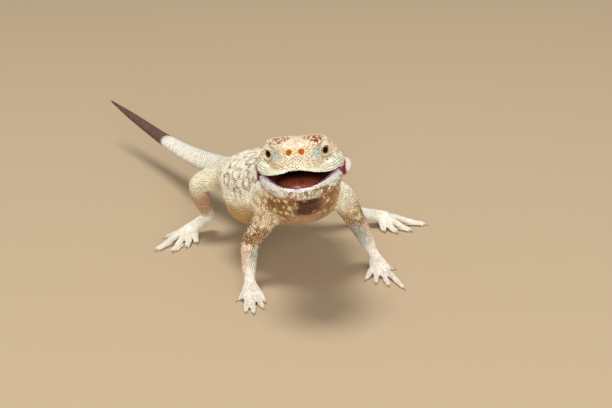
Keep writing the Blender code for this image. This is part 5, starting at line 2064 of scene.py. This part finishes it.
        for hand in Side:
            for f in np.arange(-3.0, 8.6, 0.7):
                row = SKULL_COURSE.at(f - SKULL[0][0])[0]
                point = head_point(f, hand * (row[8] - 0.2 + draw.uniform(-0.3, 0.3)), row[9] + 0.1)
                thorn(point, head_direction(-0.7, hand * 0.4, 0.5), 0.40, 0.45 + 0.35 * draw.random())
            for _ in range(26):
                point = head_point(draw.uniform(4.5, 11.0), hand * draw.uniform(2.4, 6.6), 11.0)
                thorn(point, head_direction(-0.6, hand * 0.3, 0.7), 0.36, 0.4 + 0.45 * draw.random())
            for f in np.arange(1.0, 15.0, 0.55):
                row = JAW_COURSE.at(f - JAW[0][0])[0]
                for share in (0.3, 0.42, 0.54):
                    stop = f + draw.uniform(-0.15, 0.15)
                    point = head_point(stop, hand * row[1] * 0.98, row[2] + (row[4] - row[2]) * share)
                    thorn(point, head_direction(-0.8, hand * 0.3, -0.4), 0.46, 0.55 + 0.25 * draw.random())
            for along in np.arange(4.5, 19.0, 0.75):
                for turn in np.radians(np.arange(-34.0, 26.0, 7.0)):
                    angle = turn + draw.uniform(-0.05, 0.05)
                    angle = np.array([angle if hand is Side.LEFT else math.pi - angle])
                    stop = np.array([along + draw.uniform(-0.25, 0.25)])
                    point = SPINE_COURSE.skin_points(stop, angle, LEFTWARD, np.array([0.9]))[0]
                    if draw.random() < 0.55:
                        thorn(point, SPINE_COURSE.heading(stop)[0], 0.42, 0.5 + 0.5 * draw.random())
            fold = fold_course(hand)
            across = head_direction(-0.35, hand, 0.0)
            for share in np.linspace(0.06, 0.96, 13):
                stop = np.array([share * fold.length])
                point = fold.skin_points(stop, np.array([0.0]), across, np.array([0.9]))[0]
                thorn(point, unit(across + UP * (0.5 - share)), 0.36, 0.8)
        thorns = self.rooted(np.array(points), 1.2, np.array(lies), np.array(sizes))
        roots, leans = (np.array(values) for values in zip(*self.skin.anatomy.fringes))
        count = len(roots)
        shares = np.column_stack((np.arange(count) / count, np.full(count, 0.02)))
        sizes = np.tile((0.42, 0.42, 1.15), (count, 1))
        fringes = Roots(roots, unit(leans), np.tile(UP, (count, 1)), sizes, shares)
        return Roots.joined([thorns, fringes])


@dataclass
class Eyeball:
    """One eye, with its cornea's slight bulge."""

    side: Side
    radius: float = EYE_RADIUS
    bulge: float = 0.12
    rows: int = 47
    around: int = 64

    def build(self, material: Material) -> Object:
        """The eyeball, which stands for its CAD node.

        Args:
            material: its finish.

        Returns:
            The piece.
        """
        centre, level, over, look = eye_frame(self.side, EYE_GAZE)
        turns = round_turns(self.around)
        ring = level * np.cos(turns)[:, None] + over * np.sin(turns)[:, None]
        points, away = [centre + look * (self.radius + self.bulge)], [0.0]
        for tilt in np.radians(np.linspace(0.0, 180.0, self.rows + 2))[1:-1]:
            size = self.radius + self.bulge * float(smooth(0.75, 0.0, tilt))
            points.extend(centre + (look * math.cos(tilt) + ring * math.sin(tilt)) * size)
            away.extend([self.radius * math.sin(min(tilt, math.pi / 2))] * self.around)
        points.append(centre - look * self.radius)
        away.append(self.radius)
        last = 1 + (self.rows - 1) * self.around
        faces = [face[::-1] for face in tube_faces(self.rows, self.around, 1)]
        for j in range(self.around):
            k = (j + 1) % self.around
            faces += [(0, 1 + j, 1 + k), (last + k, last + j, len(points) - 1)]
        item = new_object(f"eyeball_{self.side.label}", np.array(points), faces, material)
        store(item, "away", np.array(away))
        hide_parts(f"eye_{self.side.label}")
        return ridden(item)


@dataclass
class LidRim:
    """The soft margin of the lids round one eye."""

    side: Side
    thickness: float = 0.2
    flatness: float = 1.9
    raised: float = 0.12
    colour: str = "#D9D2C0"
    wet: float = 0.35
    around: int = 56
    ring: int = 10

    def build(self, material: Material) -> Object:
        """A rounded ring that closes the gap between skin and eyeball.

        Args:
            material: the skin's finish.

        Returns:
            The piece.
        """
        centre, level, over, look = eye_frame(self.side)
        turns, tube = round_turns(self.around), round_turns(self.ring)
        wide, high = LID_OPENING
        flat = level * (wide * np.cos(turns))[:, None] + over * (high * np.sin(turns))[:, None]
        deep = np.sqrt(EYE_RADIUS**2 - np.sum(flat**2, axis=1)) + self.raised
        line = centre + flat + look * deep[:, None]
        out = unit(flat)[:, None]
        spread = out * np.cos(tube)[None, :, None] * self.flatness + look * np.sin(tube)[None, :, None]
        points = (line[:, None] + (spread + out * 1.2) * self.thickness).reshape(-1, 3)
        bands = tube_faces(self.around + 1, self.ring)
        faces = [[corner % len(points) for corner in face[::-1]] for face in bands]
        item = new_object(f"lid_rim_{self.side.label}", points, faces, material)
        store(item, "tint", np.tile(linear(self.colour), (len(points), 1)))
        store(item, "root", (points - ORIGIN) * MM)
        for key in (*PATTERNS, "tone"):
            store(item, key, np.full(len(points), self.wet if key == "wet" else 0.0))
        return ridden(item)


@dataclass
class Claws:
    """The claws of all four feet: curved, pointed horn."""

    root_size: float = 0.5
    length: float = CLAW_LENGTH
    rows: int = 9
    around: int = 10

    def build(self, claws: list[tuple[Array, Array]], material: Material) -> Object:
        """All claws as one mesh.

        Args:
            claws: the end of each toe and its direction.
            material: their finish.

        Returns:
            The piece.
        """
        points, faces, shares = [], [], []
        turns = round_turns(self.around)
        for end, ahead in claws:
            aside = np.cross(UP, ahead)
            base, last = len(points), len(points) + (self.rows - 1) * self.around
            for t in np.arange(self.rows) / (self.rows - 1):
                hook = 0.16 * math.sin(math.pi * min(t * 1.4, 1.0)) - 0.42 * t**2
                centre = end[:3] + ahead * ((self.length + 0.4) * t - 0.5) + UP * hook
                size = self.root_size * (1 - t) ** 0.8 + 0.02
                ring = aside * np.cos(turns)[:, None] * 0.72 + UP * np.sin(turns)[:, None]
                points.extend(centre + ring * size)
                shares.extend([t] * self.around)
            faces += tube_faces(self.rows, self.around, base)
            faces += [[base + j for j in reversed(range(self.around))],
                      [last + j for j in range(self.around)]]
        points = np.array(points)
        points[:, 2] = np.maximum(points[:, 2], 0.02)
        item = new_object("claws", points, faces, material)
        store(item, "share", np.clip(np.array(shares) * 1.1 - 0.1, 0, 1))
        return ridden(item)


@dataclass
class Tongue:
    """The broad, flat tongue, with a groove down its middle and a shallow notch in its tip."""

    middle: tuple = (7.7, -1.75)  # forward and up on the head
    half: tuple = (6.5, 6.9, 0.85)  # length, width and height
    groove: float = 0.22
    notch: float = 0.5
    rows: int = 40
    around: int = 48

    def build(self, material: Material) -> Object:
        """The tongue, which stands for its CAD node.

        Args:
            material: its finish.

        Returns:
            The piece.
        """
        points, shares = [], []
        turns = round_turns(self.around)
        across, high = np.cos(turns), np.sin(turns)
        for t in (2 * np.arange(self.rows) + 1) / self.rows - 1:
            width = self.half[1] * math.sqrt(max(1 - t * t, 0.0)) ** 0.8 * (1 - 0.12 * t)
            thick = self.half[2] * (1 - abs(t) ** 3 * 0.6)
            groove = self.groove * np.exp(-(across / 0.2) ** 2) * (0.4 + 0.6 * (t > 0)) * (high > 0)
            notch = self.notch * np.exp(-(across / 0.22) ** 2) * max(t, 0) ** 6
            rise = high * thick * (1 - 0.25 * across**2) - groove
            forward = self.middle[0] + self.half[0] * t - notch
            points.extend(head_point(forward, across * width, self.middle[1] + rise))
            # The share falls towards the root and the sides, where the material paints shade.
            shares.extend((0.5 + 0.5 * t) * (1 - 0.35 * np.abs(across) ** 3))
        last = (self.rows - 1) * self.around
        faces = tube_faces(self.rows, self.around)
        faces += [[j for j in reversed(range(self.around))], [last + j for j in range(self.around)]]
        item = new_object("tongue_flesh", np.array(points), faces, material)
        store(item, "share", np.array(shares, float))
        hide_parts("tongue")
        return ridden(item)


@dataclass
class Teeth:
    """The rows of small, pointed teeth fused to the edges of both jaws."""

    room: float = 0.74
    width: float = 0.26
    height: float = 0.42
    sides: int = 7
    inset: float = 0.90  # share of the lips' half width at which they stand
    profile: tuple = ((-0.3, 1.0), (0.45, 0.72), (0.85, 0.32))  # height and width of the rings

    def build(self, material: Material) -> Object:
        """All the teeth as one mesh.

        Args:
            material: their finish.

        Returns:
            The piece.
        """
        points, faces = [], []
        turns = round_turns(self.sides)
        ring = HEAD_AHEAD * np.cos(turns)[:, None] + HEAD_LEFT * np.sin(turns)[:, None] * 0.6
        # For each jaw: where teeth stand, the columns of width and lip, their rise, and up or down.
        jaws = ((JAW_COURSE, np.arange(1.2, 16.0, self.room), (1, 2), 0.02, 1),
                (SKULL_COURSE, np.arange(1.2, 17.0, self.room), (2, 3), 0.35, -1))
        for course, stops, (wide, lip), rise, way in jaws:
            table = course.at(stops - course.rows[0][0])
            for hand, (stop, row) in product(Side, zip(stops, table)):
                foot = head_point(stop, hand * row[wide] * self.inset, row[lip] + rise - way * 0.15)
                size = 1.0 - 0.35 * float(smooth(9.0, 15.0, stop))
                base, top = len(points), len(points) + 2 * self.sides
                for lift, grow in self.profile:
                    middle = foot + HEAD_UP * way * lift * self.height * size
                    points.extend(middle + ring * self.width * grow * size)
                points.append(foot + HEAD_UP * way * self.height * size)
                faces += [face[::way] for face in tube_faces(3, self.sides, base)]
                for j in range(self.sides):
                    faces.append([top + j, top + (j + 1) % self.sides, top + self.sides][::way])
                faces.append([base + j for j in range(self.sides)][::-way])
        return ridden(new_object("teeth", np.array(points), faces, material))


@dataclass
class Studio:
    """Pale floor, soft light and the camera."""

    camera_at: tuple = (-172.1, -443.6, 198.8)
    turn: float = 20.0
    dip: float = 19.0
    roll: float = 2.5
    lens: float = 100.0
    aim: tuple = (0.0, 30.0, 25.0)
    # Name, place in millimetres, size in metres and power in watts.
    lamps: tuple = (("key", (-200.0, -60.0, 1300.0), 0.45, 12.5),
                    ("fill", (-330.0, -1200.0, 430.0), 0.6, 15.0))
    floor_colour: str = "#B6A081"
    floor_reach: float = 4000.0
    surround_colour: str = "#F3F1EC"
    surround_strength: float = 0.42

    def build(self) -> None:
        """Sets up floor, lights and camera."""
        self.floor()
        self.lights()
        self.camera()

    def floor(self) -> None:
        """A plain floor of matt paper."""
        material, tree, shader = blank_material("studio_floor_paper")
        fill(tree, shader, {"Base Color": rgba(self.floor_colour), "Roughness": 0.95}, None)
        corners = np.array(((-1, -1, 0), (1, -1, 0), (1, 1, 0), (-1, 1, 0))) * self.floor_reach
        new_object("studio_floor", corners, [(0, 1, 2, 3)], material)

    def lights(self) -> None:
        """A soft light overhead, another from the front, and a pale surround."""
        scene = bpy.context.scene
        scene.world = bpy.data.worlds.new("studio_surround")
        scene.world.use_nodes = True
        tree = scene.world.node_tree
        fill(tree, tree.nodes["Background"],
             {"Color": rgba(self.surround_colour), "Strength": self.surround_strength}, None)
        scene.view_settings.view_transform = "Standard"
        aim = Vector((np.array(self.aim) - ORIGIN) * MM)
        for name, place, size, power in self.lamps:
            light = bpy.data.lights.new(f"studio_{name}", "AREA")
            light.size, light.energy = size, power
            item = bpy.data.objects.new(light.name, light)
            scene.collection.objects.link(item)
            spot = Vector((np.array(place) - ORIGIN) * MM)
            turned = (spot - aim).to_track_quat("Z", "Y").to_matrix().to_4x4()
            item.matrix_world = Matrix.Translation(spot) @ turned

    def camera(self) -> None:
        """The camera, at the place and angle matched to the photograph."""
        turn, dip, roll = (math.radians(value) for value in (self.turn, self.dip, self.roll))
        look = np.array((math.sin(turn) * math.cos(dip), math.cos(turn) * math.cos(dip), -math.sin(dip)))
        level = np.array((math.cos(turn), -math.sin(turn), 0.0))
        over = np.cross(level, look)
        right = level * math.cos(roll) - over * math.sin(roll)
        over = level * math.sin(roll) + over * math.cos(roll)
        camera = bpy.data.cameras.new("camera")
        camera.sensor_width, camera.lens, camera.clip_start, camera.clip_end = 36.0, self.lens, 0.01, 20.0
        item = bpy.data.objects.new("camera", camera)
        bpy.context.scene.collection.objects.link(item)
        place = Matrix(np.column_stack((right, over, -look)).tolist()).to_4x4()
        place.translation = Vector((np.array(self.camera_at) - ORIGIN) * MM)
        item.matrix_world = place
        bpy.context.scene.camera = item


def main() -> None:
    """Builds the dressed model, piece by piece."""
    logging.basicConfig(level=logging.INFO, format="%(name)s: %(message)s")
    anatomy = Anatomy()
    anatomy.build()
    markings = Markings(Hide(), anatomy.blueprint)
    scaly = ScalySkin().build()
    skin = Skin(anatomy, markings)
    item = skin.build(scaly)
    apart = ("eye_left", "eye_right", "tongue")
    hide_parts(*(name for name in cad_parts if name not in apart))
    ridden(item)
    Coat(skin, markings, scaly).grow()
    wet = WetEye().build()
    for side in Side:
        Eyeball(side).build(wet)
        LidRim(side).build(scaly)
    Claws().build(anatomy.claws, ClawHorn().build())
    Tongue().build(TongueFlesh().build())
    Teeth().build(ToothEnamel().build())
    Studio().build()


if __name__ == "__main__":
    main()
